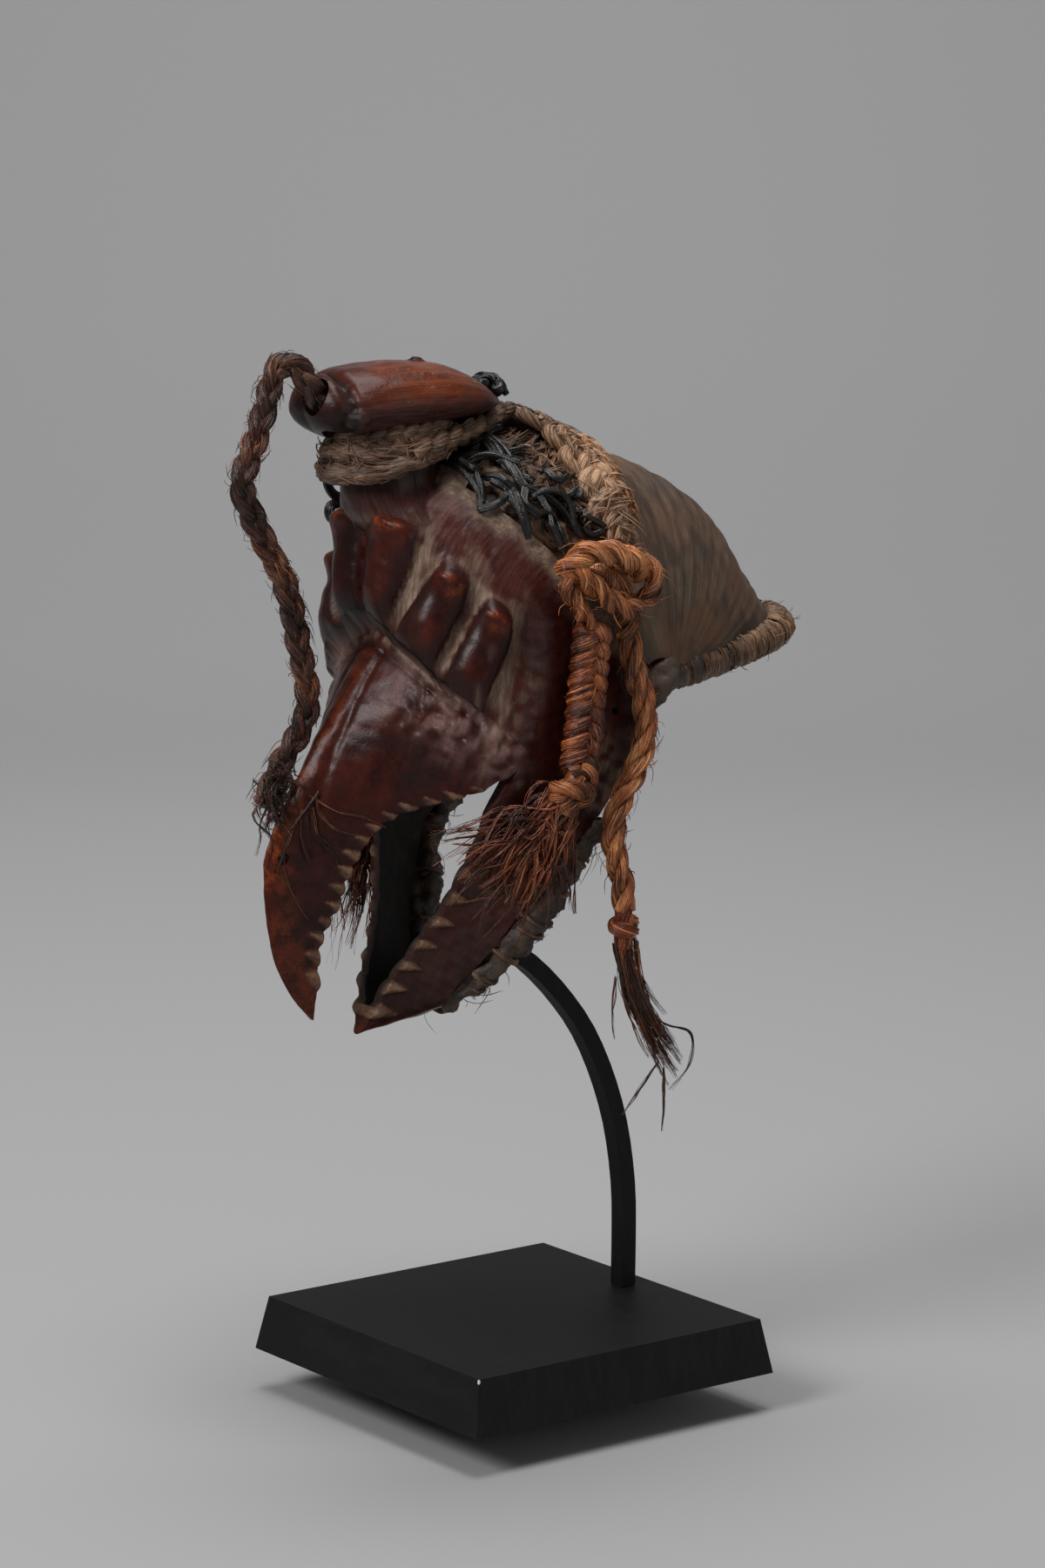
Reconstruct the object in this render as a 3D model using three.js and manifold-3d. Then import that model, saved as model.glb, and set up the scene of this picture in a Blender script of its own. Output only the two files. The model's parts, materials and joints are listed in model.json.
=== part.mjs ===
// Carved bird mask with a woven hood and raffia ropes, held up by a bent rod on a square plinth.
// Millimetres, +Z up. The origin is the centre of the plinth's underside, and the mask looks along -Y.
// The mask's own left side is +X.
import * as THREE from "three";
import { mergeVertices } from "three/addons/utils/BufferGeometryUtils.js";
import Module from "manifold-3d";

const wasm = await Module();
wasm.setup();

// Driving dimensions
const GAP = 0.35;
const BASE_SIDE = 200;
const BASE_TOP_SIDE = 189.4;
const BASE_HEIGHT = 29.5;
const ROD_SIDE = 9.6;
const HEAD_LEAN = 40.54;
const HEAD_CENTRE_Z = 430;
const WALL = 6;
const CREST_HOLE_RADIUS = 8.6;
const BEAK_HOLE_RADIUS = 3;
const FRONT_ROPE_DIAMETER = 14;
const SIDE_CORD_DIAMETER = 13;
const BRAID_DIAMETER = 20;
const RIM_RADIUS = 9.5;
const VINE_RADIUS = 2.3;
const HOOD_WALL = 4.5;

// Colours
const OXBLOOD_WOOD = { color: 0x4a1c14, roughness: 0.34, metalness: 0 };
const WOVEN_HOOD = { color: 0x5a4a3a, roughness: 0.85, metalness: 0 };
const DUSTY_FIBRE = { color: 0x7d6049, roughness: 0.9, metalness: 0 };
const RAFFIA = { color: 0x8c4f26, roughness: 0.75, metalness: 0 };
const DARK_RAFFIA = { color: 0x4f241a, roughness: 0.75, metalness: 0 };
const VINE = { color: 0x262422, roughness: 0.55, metalness: 0 };
const LEATHER_BINDING = { color: 0x4b3b2e, roughness: 0.85, metalness: 0 };
const MATTE_BLACK = { color: 0x1b1b1c, roughness: 0.6, metalness: 0.1 };

// A smooth line through [position, value] pairs
function along(line, position) {
  const last = line.length - 1;
  let i = 0;
  while (i < last - 1 && position > line[i + 1][0]) i += 1;
  const slope = (k) => {
    const before = line[Math.max(k - 1, 0)];
    const after = line[Math.min(k + 1, last)];
    return (after[1] - before[1]) / (after[0] - before[0]);
  };
  const [start, from] = line[i];
  const [end, to] = line[i + 1];
  const span = end - start;
  const u = Math.min(Math.max((position - start) / span, 0), 1);
  const u2 = u * u;
  const u3 = u2 * u;
  return (2 * u3 - 3 * u2 + 1) * from + (u3 - 2 * u2 + u) * span * slope(i)
    + (3 * u2 - 2 * u3) * to + (u3 - u2) * span * slope(i + 1);
}

function smooth(from, to, value) {
  const u = Math.min(Math.max((value - from) / (to - from), 0), 1);
  return u * u * (3 - 2 * u);
}

// The head leans forward: down runs towards the beak's tip, forward is square to it in the middle plane
const leanSin = Math.sin(THREE.MathUtils.degToRad(HEAD_LEAN));
const leanCos = Math.cos(THREE.MathUtils.degToRad(HEAD_LEAN));

function seat(x, forward, down) {
  const y = -leanSin * down - leanCos * forward;
  const z = HEAD_CENTRE_Z - leanCos * down + leanSin * forward;
  return new THREE.Vector3(x, y, z);
}

// Lines of the carving, each [down, value]
const FACE_FRONT = [[-5, 89], [3, 90], [20, 98], [38, 97], [54, 86], [72, 73], [84, 62]];
const BEAK_FRONT = [[70, 53], [80, 53], [109, 51], [140, 48], [171, 43], [192, 40], [210, 34],
  [222, 25], [232, 15], [243, 1], [250, -11], [256, -28], [257.5, -38]];
const SIDE_WIDTH = [[-5, 70], [60, 70], [95, 69.5], [107, 67], [125, 56], [143, 45], [162, 34], [174, 28],
  [190, 21], [206, 15], [222, 10.5], [236, 6.5], [250, 3.2], [257.5, 1.2]];
const SIDE_FORWARD = [[-5, -4], [60, -12], [107, -18], [143, -22], [174, -26], [206, -37], [222, -43],
  [236, -51], [250, -56], [257.5, -44]];
const BACK_WIDTH = [[-5, 66], [99, 66], [131, 60], [147, 54], [171, 43], [184, 34], [206, 22],
  [222, 13], [236, 7], [250, 3], [257.5, 1.2]];
const BACK_FORWARD = [[-5, -72], [99, -92], [147, -98], [171, -98], [184, -98], [206, -90], [222, -80],
  [236, -72], [250, -66], [257.5, -47]];
const KEEL = [[-5, -140], [150, -140], [184, -128], [204, -108], [218, -98], [230, -88.5], [244, -76],
  [250, -70], [257.5, -50]];
const ROUNDNESS = [[-5, 2.1], [40, 1.9], [60, 1.75], [109, 1.6], [140, 1.5], [257.5, 1.45]];

// The straight chevron under the lobes runs down from the middle to the cheeks
const CHEVRON_DOWN = 79;
const CHEVRON_SLOPE = 0.34;
const CHEVRON_REACH = 46;
const LIP_HEIGHT = 2;
const LIP_WIDTH = 5;

function chevronDrop(x) {
  return CHEVRON_SLOPE * Math.min(Math.abs(x), CHEVRON_REACH);
}

// One lobe: where it starts, then its distance from the middle line and its half width, each at its top
// and at the chevron
const LOBES = [
  { top: 38, middle: [21, 10], halfWidth: [20, 11] },
  { top: 47, middle: [58, 39], halfWidth: [14, 16] },
  { top: 49, middle: [86, 72], halfWidth: [14, 15] },
];
const LOBE_HEIGHT = 10.5;

function lobeRise(round, down, drop) {
  let rise = 0;
  for (const lobe of LOBES) {
    const end = CHEVRON_DOWN + drop;
    const u = (down - lobe.top) / (end - lobe.top);
    const share = Math.max(u, 0);
    const middle = lobe.middle[0] + (lobe.middle[1] - lobe.middle[0]) * share;
    const halfWidth = lobe.halfWidth[0] + (lobe.halfWidth[1] - lobe.halfWidth[0]) * share;
    const across = Math.abs(round - middle) / halfWidth;
    const fade = (1 - 0.15 * share) * (1 - 0.75 * smooth(0.62, 1.05, share));
    const height = LOBE_HEIGHT * smooth(-0.22, 0.14, u) * fade;
    rise = Math.max(rise, height * Math.sqrt(Math.max(0, 1 - across ** 2.2)));
  }
  return rise;
}

// Half a section of the head at one level: from the front ridge (v = 0) round to the keel (v = 1)
const FRONT_SHARE = 0.66;
const SIDE_SHARE = 0.84;

function section(down, v, beak, inset) {
  const ridge = (beak ? along(BEAK_FRONT, down) : along(FACE_FRONT, down)) - inset.front;
  const side = Math.max(along(SIDE_WIDTH, down) - inset.wall, 0.6);
  const sideForward = Math.min(along(SIDE_FORWARD, down), ridge - 2);
  const back = Math.max(along(BACK_WIDTH, down) - inset.wall, 0.6);
  const backForward = Math.min(along(BACK_FORWARD, down), sideForward - 1);
  const keel = Math.min(along(KEEL, down) + inset.wall, backForward - 1);
  const power = 2 / along(ROUNDNESS, down);
  if (v <= FRONT_SHARE) {
    const angle = (v / FRONT_SHARE) * Math.PI / 2;
    const depth = ridge - sideForward;
    return [side * Math.sin(angle) ** power, sideForward + depth * Math.cos(angle) ** power];
  }
  if (v <= SIDE_SHARE) {
    const u = (v - FRONT_SHARE) / (SIDE_SHARE - FRONT_SHARE);
    return [side + (back - side) * smooth(0, 1, u), sideForward + (backForward - sideForward) * u];
  }
  const angle = (v - SIDE_SHARE) / (1 - SIDE_SHARE) * Math.PI / 2;
  return [back * Math.cos(angle) ** 0.8, backForward + (keel - backForward) * Math.sin(angle) ** 0.8];
}

// Manifold solids from three.js geometry, and back
function solidOf(geometry) {
  const plain = geometry.clone();
  for (const name of Object.keys(plain.attributes)) {
    if (name !== "position") plain.deleteAttribute(name);
  }
  const merged = mergeVertices(plain, 1e-4);
  const mesh = new wasm.Mesh({
    numProp: 3,
    vertProperties: new Float32Array(merged.attributes.position.array),
    triVerts: new Uint32Array(merged.index.array),
  });
  mesh.merge();
  return new wasm.Manifold(mesh);
}

function geometryOf(solid) {
  const mesh = solid.getMesh();
  const geometry = new THREE.BufferGeometry();
  geometry.setAttribute("position", new THREE.BufferAttribute(new Float32Array(mesh.vertProperties), 3));
  geometry.setIndex(new THREE.BufferAttribute(new Uint32Array(mesh.triVerts), 1));
  return geometry;
}

// A closed skin over rings of equal length, with a flat fan over each end
function loft(rings) {
  const count = rings[0].length;
  const points = rings.flat();
  const faces = [];
  for (let r = 0; r + 1 < rings.length; r += 1) {
    for (let i = 0; i < count; i += 1) {
      const a = r * count + i;
      const b = r * count + (i + 1) % count;
      faces.push(a, b, b + count, a, b + count, a + count);
    }
  }
  for (const [first, flip] of [[0, true], [(rings.length - 1) * count, false]]) {
    const middle = new THREE.Vector3();
    for (let i = 0; i < count; i += 1) middle.addScaledVector(points[first + i], 1 / count);
    const hub = points.push(middle) - 1;
    for (let i = 0; i < count; i += 1) {
      const a = first + i;
      const b = first + (i + 1) % count;
      faces.push(...(flip ? [hub, b, a] : [hub, a, b]));
    }
  }
  return facing(points, faces);
}

// Turns a closed skin outwards where its faces point in
function facing(points, faces) {
  let volume = 0;
  for (let i = 0; i < faces.length; i += 3) {
    const [a, b, c] = [points[faces[i]], points[faces[i + 1]], points[faces[i + 2]]];
    volume += a.dot(new THREE.Vector3().crossVectors(b, c)) / 6;
  }
  if (volume < 0) {
    for (let i = 0; i < faces.length; i += 3) {
      [faces[i + 1], faces[i + 2]] = [faces[i + 2], faces[i + 1]];
    }
  }
  const geometry = new THREE.BufferGeometry();
  geometry.setAttribute("position", new THREE.Float32BufferAttribute(points.flatMap((p) => p.toArray()), 3));
  geometry.setIndex(faces);
  return geometry;
}

// A flat outline made thick between 0 and 1, with each of its points then moved by a rule of its own
function slab(outline, move) {
  const shape = new THREE.Shape(outline.map(([u, v]) => new THREE.Vector2(u, v)));
  const thick = new THREE.ExtrudeGeometry(shape, { depth: 1, steps: 1, bevelEnabled: false });
  thick.deleteAttribute("normal");
  thick.deleteAttribute("uv");
  const merged = mergeVertices(thick, 1e-4);
  const at = merged.attributes.position;
  const points = [];
  for (let i = 0; i < at.count; i += 1) points.push(move(at.getX(i), at.getY(i), at.getZ(i)));
  return facing(points, Array.from(merged.index.array));
}

// An outline of [down, forward] points cut right through the head from side to side
function crossCutter(outline, halfWidth) {
  return solidOf(slab(outline, (down, forward, share) => seat((2 * share - 1) * halfWidth, forward, down)));
}

function ball(centre, rx, ry, rz, columns = 12, rows = 8) {
  const geometry = new THREE.SphereGeometry(1, columns, rows);
  geometry.scale(rx, ry, rz);
  geometry.translate(centre.x, centre.y, centre.z);
  return geometry;
}

function circle(radius, sides) {
  const shape = new THREE.Shape();
  for (let i = 0; i < sides; i += 1) {
    const angle = (i + 0.5) * 2 * Math.PI / sides;
    const step = i === 0 ? "moveTo" : "lineTo";
    shape[step](radius * Math.cos(angle), radius * Math.sin(angle));
  }
  shape.closePath();
  return shape;
}

function tube(points, radius, steps, sides = 8) {
  const path = new THREE.CatmullRomCurve3(points, false, "centripetal");
  return new THREE.ExtrudeGeometry(circle(radius, sides), { steps, extrudePath: path, curveSegments: 1 });
}

// A round roll along a smooth line, whose radius changes on the way
function roll(points, radiusAt, steps, sides) {
  const path = new THREE.CatmullRomCurve3(points, false, "centripetal");
  const { normals, binormals } = path.computeFrenetFrames(steps, false);
  const rings = [];
  for (let s = 0; s <= steps; s += 1) {
    const centre = path.getPointAt(s / steps);
    const radius = radiusAt(s / steps);
    const ring = [];
    for (let i = 0; i < sides; i += 1) {
      const angle = (i + 0.5) * 2 * Math.PI / sides;
      ring.push(centre.clone().addScaledVector(normals[s], radius * Math.cos(angle))
        .addScaledVector(binormals[s], radius * Math.sin(angle)));
    }
    rings.push(ring);
  }
  return loft(rings);
}

function pegAlong(from, towards, radius, length, sides = 12) {
  const direction = new THREE.Vector3().subVectors(towards, from).normalize();
  const geometry = new THREE.CylinderGeometry(radius, radius, length, sides);
  const up = new THREE.Vector3(0, 1, 0);
  geometry.applyQuaternion(new THREE.Quaternion().setFromUnitVectors(up, direction));
  geometry.translate(from.x, from.y, from.z);
  return solidOf(geometry);
}

// The head's skin: rows run down from the crown to the tips, columns run round each section
const FACE_ROWS = [-5, 10, 26, 36, 43, 51, 61, 71, 78.6];
const BEAK_ROWS = [79.6, 84, 98, 114, 132, 152, 171, 188, 204, 219, 232, 243, 250, 255, 257.5];
const SECTION_COLUMNS = 20;
const LEAN_OUT = 61;

function headRing(row, beak, inset, columns, relief) {
  const half = [];
  let round = 0;
  let last = null;
  for (let i = 0; i <= columns; i += 1) {
    const v = i / columns;
    const [x, forward] = section(row, v, beak, inset);
    const weight = beak ? Math.max(0, 1 - (row - CHEVRON_DOWN) / LEAN_OUT) ** 2
      : Math.max(0, row / CHEVRON_DOWN) ** 2;
    const down = relief ? row + chevronDrop(x) * weight : row;
    if (last) round += Math.hypot(x - last[0], forward - last[1]);
    last = [x, forward];
    half.push({ x, forward, down, round });
  }
  const points = half.map((p, i) => {
    const before = half[Math.max(i - 1, 0)];
    const after = half[Math.min(i + 1, columns)];
    const slopeX = after.x - before.x;
    const slopeForward = after.forward - before.forward;
    const length = Math.hypot(slopeX, slopeForward) || 1;
    let rise = 0;
    if (relief && !beak) rise = lobeRise(p.round, p.down, chevronDrop(p.x));
    if (relief && beak && row < CHEVRON_DOWN + LIP_WIDTH) {
      rise = LIP_HEIGHT * smooth(64, 50, p.x);
    }
    const outX = i === 0 || i === columns ? 0 : -slopeForward / length;
    const outForward = i === 0 ? 1 : (i === columns ? -1 : slopeX / length);
    return [p.x + outX * rise, p.forward + outForward * rise, p.down];
  });
  const left = points.map(([x, forward, down]) => seat(Math.max(x, 0), forward, down));
  const right = points.slice(1, -1).reverse()
    .map(([x, forward, down]) => seat(-Math.max(x, 0.01), forward, down));
  left[0].x = 0;
  left[columns].x = 0;
  return [...left, ...right];
}

function headSkin() {
  const bare = { front: 0, wall: 0 };
  const face = FACE_ROWS.map((row) => headRing(row, false, bare, SECTION_COLUMNS, true));
  const beak = BEAK_ROWS.map((row) => headRing(row, true, bare, SECTION_COLUMNS, true));
  return solidOf(loft([...face, ...beak]));
}

// The hollow inside, which stops short of the solid tips
const HOLLOW_FRONT = [[-8, 80.5], [4, 80.5], [30, 86], [56, 72], [78, 44], [109, 43], [140, 39], [171, 33],
  [192, 24], [206, 8], [222, -14], [232, -40], [238, -56]];
const HOLLOW_ROWS = [-8, 4, 30, 56, 78, 109, 140, 171, 206, 232];
const HOLLOW_COLUMNS = 12;

function hollow() {
  const rings = HOLLOW_ROWS.map((row) => {
    const front = along(BEAK_FRONT, Math.max(row, 80)) - along(HOLLOW_FRONT, row);
    return headRing(row, true, { front, wall: WALL }, HOLLOW_COLUMNS, false);
  });
  return solidOf(loft(rings));
}

// The open mouth, with the wavy toothed edges of both jaws
const MOUTH_CORNER = [106, -18];
const UPPER_EDGE = [[112, -17.5], [118, -17.5], [129, -13], [142, -5], [156, 2], [171, 3], [190, -3],
  [208, -12], [228, -20], [249, -40], [258, -47]];
const LOWER_EDGE = [[112, -20.5], [125, -28], [143, -40], [162, -49], [174, -54], [189, -58], [206, -62],
  [219, -64], [230, -68], [244, -71.5], [258, -73]];
const UPPER_TEETH = { first: 120, last: 246, count: 15, size: 5.5 };
const LOWER_TEETH = { first: 138, last: 242, count: 8, size: 7.6 };

function wavyEdge(edge, teeth, inwards) {
  const points = [];
  const steps = teeth.count * 2;
  for (let i = 0; i <= steps; i += 1) {
    const down = teeth.first + (teeth.last - teeth.first) * i / steps;
    points.push([down, along(edge, down) + (i % 2 ? 0 : inwards)]);
  }
  return points;
}

function mouth() {
  const upper = wavyEdge(UPPER_EDGE, UPPER_TEETH, 1.6);
  const lower = wavyEdge(LOWER_EDGE, LOWER_TEETH, -1.6).reverse();
  const far = [[262, -49], [262, -74]];
  const start = [[112, -17.5]];
  const end = [[128, -29.5], [112, -20.5]];
  return crossCutter([MOUTH_CORNER, ...start, ...upper, ...far, ...lower, ...end], 90);
}

// The back of the head is open: its edge runs down from the crown to the chin
const BACK_EDGE = [[3, 79.5], [15.5, -72.5], [20, -74], [35, -75], [61, -79], [91, -80], [104, -78],
  [122, -75.5], [144, -81.5], [161, -85], [184, -91.5], [198, -92], [207, -96], [211, -102]];

function backOpening() {
  return crossCutter([...BACK_EDGE, [211, -220], [-60, -220], [-60, 79.5]], 100);
}

// A tooth is a small ridge-backed triangle on the outer face, its base on the mouth's edge
const TOOTH_RISE = 2.4;

function widthAt(down, forward) {
  let best = 0;
  let miss = Infinity;
  for (let i = 0; i <= 200; i += 1) {
    const [x, at] = section(down, i / 200, true, { front: 0, wall: 0 });
    if (Math.abs(at - forward) < miss) {
      miss = Math.abs(at - forward);
      best = x;
    }
  }
  return best;
}

function tooth(edge, down, size, away, side) {
  const forward = along(edge, down);
  const spots = [[down - size, forward], [down + size, along(edge, down + size)],
    [down + away * 1.5, forward + away * size * 1.7], [down, forward + away * size * 0.4]];
  const lift = [-0.4, -0.4, -0.4, TOOTH_RISE];
  const points = spots.map(([d, f], i) => {
    const x = widthAt(d, f) + lift[i];
    return seat(side * x, f, d);
  });
  const [d, f] = spots[3];
  points.push(seat(side * (widthAt(d, f) - 3), f, d));
  const faces = [0, 1, 3, 1, 2, 3, 2, 0, 3, 1, 0, 4, 2, 1, 4, 0, 2, 4];
  return solidOf(facing(points, faces));
}

function teeth() {
  const rows = [[UPPER_EDGE, UPPER_TEETH, 1], [LOWER_EDGE, LOWER_TEETH, -1]];
  const all = [];
  for (const [edge, set, away] of rows) {
    for (let i = 0; i < set.count; i += 1) {
      const down = set.first + (set.last - set.first) * (i + 0.5) / set.count;
      const size = set.size * (0.55 + 0.45 * i / set.count);
      for (const side of [-1, 1]) all.push(tooth(edge, down, size, away, side));
    }
  }
  return all;
}

// The crest: a long casque that tapers to the back, with a blunt head-like front end
const CREST_FRONT = -139.5;
const CREST_BACK = -19;
const CREST_TOP = [[-139.5, 526], [-136, 533], [-130, 537], [-124, 537], [-118, 540], [-90, 543], [-71, 542],
  [-57, 540], [-40, 533.5], [-28, 526.5], [-19, 520.5]];
const CREST_UNDER = [[-139.5, 518], [-136, 511.5], [-130, 507.5], [-122, 505], [-100, 506.5], [-80, 508],
  [-40, 513], [-19, 517]];
const CREST_WIDTH = [[-139.5, 6], [-136, 14.5], [-130, 21], [-124, 23], [-118, 28], [-105, 32], [-85, 34.5],
  [-65, 34], [-45, 28], [-28, 16], [-19, 6]];
const CREST_ROWS = [-139.5, -137.5, -133, -127, -123.5, -120, -109, -94, -78, -60, -44, -30, -22, -19];
const CREST_COLUMNS = 16;

function crest() {
  const rings = CREST_ROWS.map((y) => {
    const top = along(CREST_TOP, y);
    const under = along(CREST_UNDER, y);
    const width = along(CREST_WIDTH, y);
    const ring = [];
    for (let i = 0; i < CREST_COLUMNS; i += 1) {
      const angle = 2 * Math.PI * i / CREST_COLUMNS;
      const high = Math.sin(angle);
      const middle = under + (top - under) * 0.42;
      const reach = high > 0 ? top - middle : middle - under;
      const slant = -0.16 * width * Math.abs(Math.cos(angle)) * smooth(-70, -120, y);
      ring.push(new THREE.Vector3(width * Math.cos(angle), y + slant, middle + reach * high));
    }
    return ring;
  });
  return solidOf(loft(rings));
}

// The neck between crest and forehead, each ring [height, middle, half length, half width]
const NECK_RINGS = [[513, -87, 27, 22], [500, -86.5, 26.5, 21], [490, -86, 27, 22], [480, -85, 27, 23.5],
  [472, -84, 26.5, 27], [462, -82, 24, 33], [452, -78, 15, 28]];
const NECK_COLUMNS = 16;

function neck() {
  const rings = NECK_RINGS.map(([z, y, halfLength, halfWidth]) => {
    const ring = [];
    for (let i = 0; i < NECK_COLUMNS; i += 1) {
      const angle = 2 * Math.PI * i / NECK_COLUMNS;
      ring.push(new THREE.Vector3(halfWidth * Math.cos(angle), y + halfLength * Math.sin(angle), z));
    }
    return ring;
  });
  return solidOf(loft(rings));
}

// Routes of the ropes, worked out by hand from where they leave and what they lie against
const FRONT_ROPE_ROUTE = [
  [7, -132, 521.5], [7, -137.5, 528], [6.5, -142.5, 535], [5, -146.5, 541], [3, -151, 543.5],
  [1, -155.5, 541.5], [0, -158.5, 536], [0, -161, 527], [0, -165, 515.5], [0, -169, 504.5],
  [0, -174, 494], [0, -177, 483], [0, -172.5, 471.5], [0, -166.5, 460], [0, -160, 448.5],
  [0, -152.5, 436.5], [0, -148, 424.5], [0, -145, 413.5], [0, -142.5, 402], [0, -139.5, 390],
  [0, -136.5, 376], [-1, -136, 366.5], [-4, -138, 356], [-6, -143.5, 346.5], [-7, -149.5, 337.5],
  [-7, -155, 329], [-7, -161, 320],
].map((p) => new THREE.Vector3(...p));
const LEFT_CORD_ROUTE = [
  [78.5, 9, 404], [78.5, 11.5, 394], [78.5, 15, 382], [79, 19.5, 370], [79, 21.5, 357], [79, 20, 344],
  [79, 14, 331], [79, 5.5, 318], [79, 1, 305], [79, 2, 292], [79, 5.5, 280], [79, 8.5, 269], [79, 8.5, 260],
].map((p) => new THREE.Vector3(...p));
const RIGHT_CORD_ROUTE = [
  [-78.5, 9, 404], [-78.5, 11, 394], [-78.5, 13, 382], [-79, 15.5, 370], [-79, 15.5, 357], [-79, 12, 344],
  [-79, 5, 331], [-79, -1.5, 318], [-79, -5, 305], [-79, -5, 292], [-79, -3.5, 280], [-79, -2, 269],
  [-79, -2, 260],
].map((p) => new THREE.Vector3(...p));
const BRAID_ROUTE = [
  [81.5, -16.5, 410], [81.5, -17.5, 400], [81.5, -19, 385], [81.5, -20.5, 370], [81.5, -22, 355],
  [81.5, -24, 342], [81.5, -25.5, 335],
].map((p) => new THREE.Vector3(...p));

function mirrored(point, side) {
  return new THREE.Vector3(point.x * side, point.y, point.z);
}

function carvedMask() {
  let solid = headSkin();
  for (const one of teeth()) solid = solid.add(one);
  solid = solid.add(neck()).add(crest());
  solid = solid.subtract(hollow()).subtract(mouth()).subtract(backOpening());
  const [ropeStart, ropeNext] = FRONT_ROPE_ROUTE;
  solid = solid.subtract(pegAlong(ropeStart, ropeNext, CREST_HOLE_RADIUS, 44));
  const hole = seat(0, 28, 205);
  const beyond = hole.clone().add(new THREE.Vector3(1, 0, 0));
  solid = solid.subtract(pegAlong(hole, beyond, BEAK_HOLE_RADIUS, 60, 10));
  for (const side of [-1, 1]) {
    const spot = seat(side * 67, -51, 44);
    solid = solid.subtract(pegAlong(spot, spot.clone().add(new THREE.Vector3(1, 0, 0)), 2.6, 24, 8));
  }
  return geometryOf(solid);
}

// The hood turns about a line through both cheek corners
const HOOD_PIVOT_Y = 45;
const HOOD_PIVOT_Z = 372;
const HOOD_REACH = [[2, 118], [8, 117], [20, 107], [38, 101], [55, 106], [75, 112], [90, 119], [99, 124],
  [108, 135], [120, 144], [134, 148.5], [146, 149]];
const HOOD_WIDTH = [[2, 63], [8, 64], [30, 70], [60, 72], [100, 71], [134, 69.5], [146, 69.5]];
const HOOD_ROUNDNESS = 2.6;
const HOOD_ROWS = [2, 14, 25, 38, 55, 75, 90, 99, 104, 109, 120, 144];
const HOOD_COLUMNS = 16;
const RIM_ANGLE = 7.6;
const RIM_LIFT = 7.5;
const FRONT_EDGE_ANGLE = 134.4;

function onHood(turn, round, lift) {
  const reach = along(HOOD_REACH, turn);
  const width = along(HOOD_WIDTH, turn);
  const power = 2 / HOOD_ROUNDNESS;
  const cos = Math.max(Math.cos(round), 0);
  const sin = Math.sin(round);
  const sideways = Math.sign(sin) * Math.abs(sin) ** (2 - power) / width;
  const out = new THREE.Vector2(cos ** (2 - power) / reach, sideways).normalize();
  const radius = reach * cos ** power + out.x * lift;
  const x = width * Math.sign(sin) * Math.abs(sin) ** power + out.y * lift;
  const angle = THREE.MathUtils.degToRad(turn);
  const y = HOOD_PIVOT_Y + radius * Math.cos(angle);
  return new THREE.Vector3(x, y, HOOD_PIVOT_Z + radius * Math.sin(angle));
}

function hoodShell() {
  const limit = 1.5;
  const grids = [0, -HOOD_WALL].map((lift) => HOOD_ROWS.map((turn) => {
    const row = [];
    for (let i = 0; i <= HOOD_COLUMNS; i += 1) {
      const round = limit * (2 * i / HOOD_COLUMNS - 1);
      row.push(onHood(turn, round, lift));
    }
    return row;
  }));
  const [outer, inner] = grids;
  const rings = outer.map((row, r) => [...row, ...inner[r].slice().reverse()]);
  return solidOf(loft(rings));
}

// A slab with one face on the line that leaves the pivot at an angle, shifted to its side
function pivotSlab(angleDegrees, from, to) {
  const angle = THREE.MathUtils.degToRad(angleDegrees);
  const slab = new THREE.BoxGeometry(400, 460, to - from);
  slab.translate(0, 0, (to + from) / 2);
  slab.rotateX(angle);
  slab.translate(0, HOOD_PIVOT_Y, HOOD_PIVOT_Z);
  return solidOf(slab);
}

function hood() {
  const below = pivotSlab(RIM_ANGLE, -200, RIM_LIFT + RIM_RADIUS + RIM_END_SWELL + GAP);
  const ahead = pivotSlab(FRONT_EDGE_ANGLE, 0.6, 200);
  return geometryOf(hoodShell().subtract(below).subtract(ahead));
}

// The rim lies in one plane just above the pivot line, bent round the back like a U
const RIM_REACH = 119;
const RIM_HALF_WIDTH = 62;
const RIM_END_SWELL = 1;

function hoodRim() {
  const angle = THREE.MathUtils.degToRad(RIM_ANGLE);
  const points = [];
  const steps = 16;
  for (let i = 0; i <= steps; i += 1) {
    const round = 1.56 * (2 * i / steps - 1);
    const radius = RIM_REACH * Math.max(Math.cos(round), 0) ** 0.85;
    const x = RIM_HALF_WIDTH * Math.sign(Math.sin(round)) * Math.abs(Math.sin(round)) ** 0.85;
    points.push(new THREE.Vector3(x, HOOD_PIVOT_Y + radius * Math.cos(angle),
      HOOD_PIVOT_Z + RIM_LIFT + radius * Math.sin(angle)));
  }
  const swell = (share) => RIM_END_SWELL * smooth(0.6, 0.95, Math.abs(2 * share - 1));
  return roll(points, (share) => RIM_RADIUS + swell(share), 20, 8);
}

// The plait over the seam lies on the hood, from one side knot over the crown to the other, where it is
// wider and climbs towards the crest
const PLAIT_THICKNESS = 12;
const PLAIT_CLIMB = 7;
const PLAIT_HALF_WIDTH = 15.5;
const PLAIT_END = 1.02;
const PLAIT_UNDER = 1.3;

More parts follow.
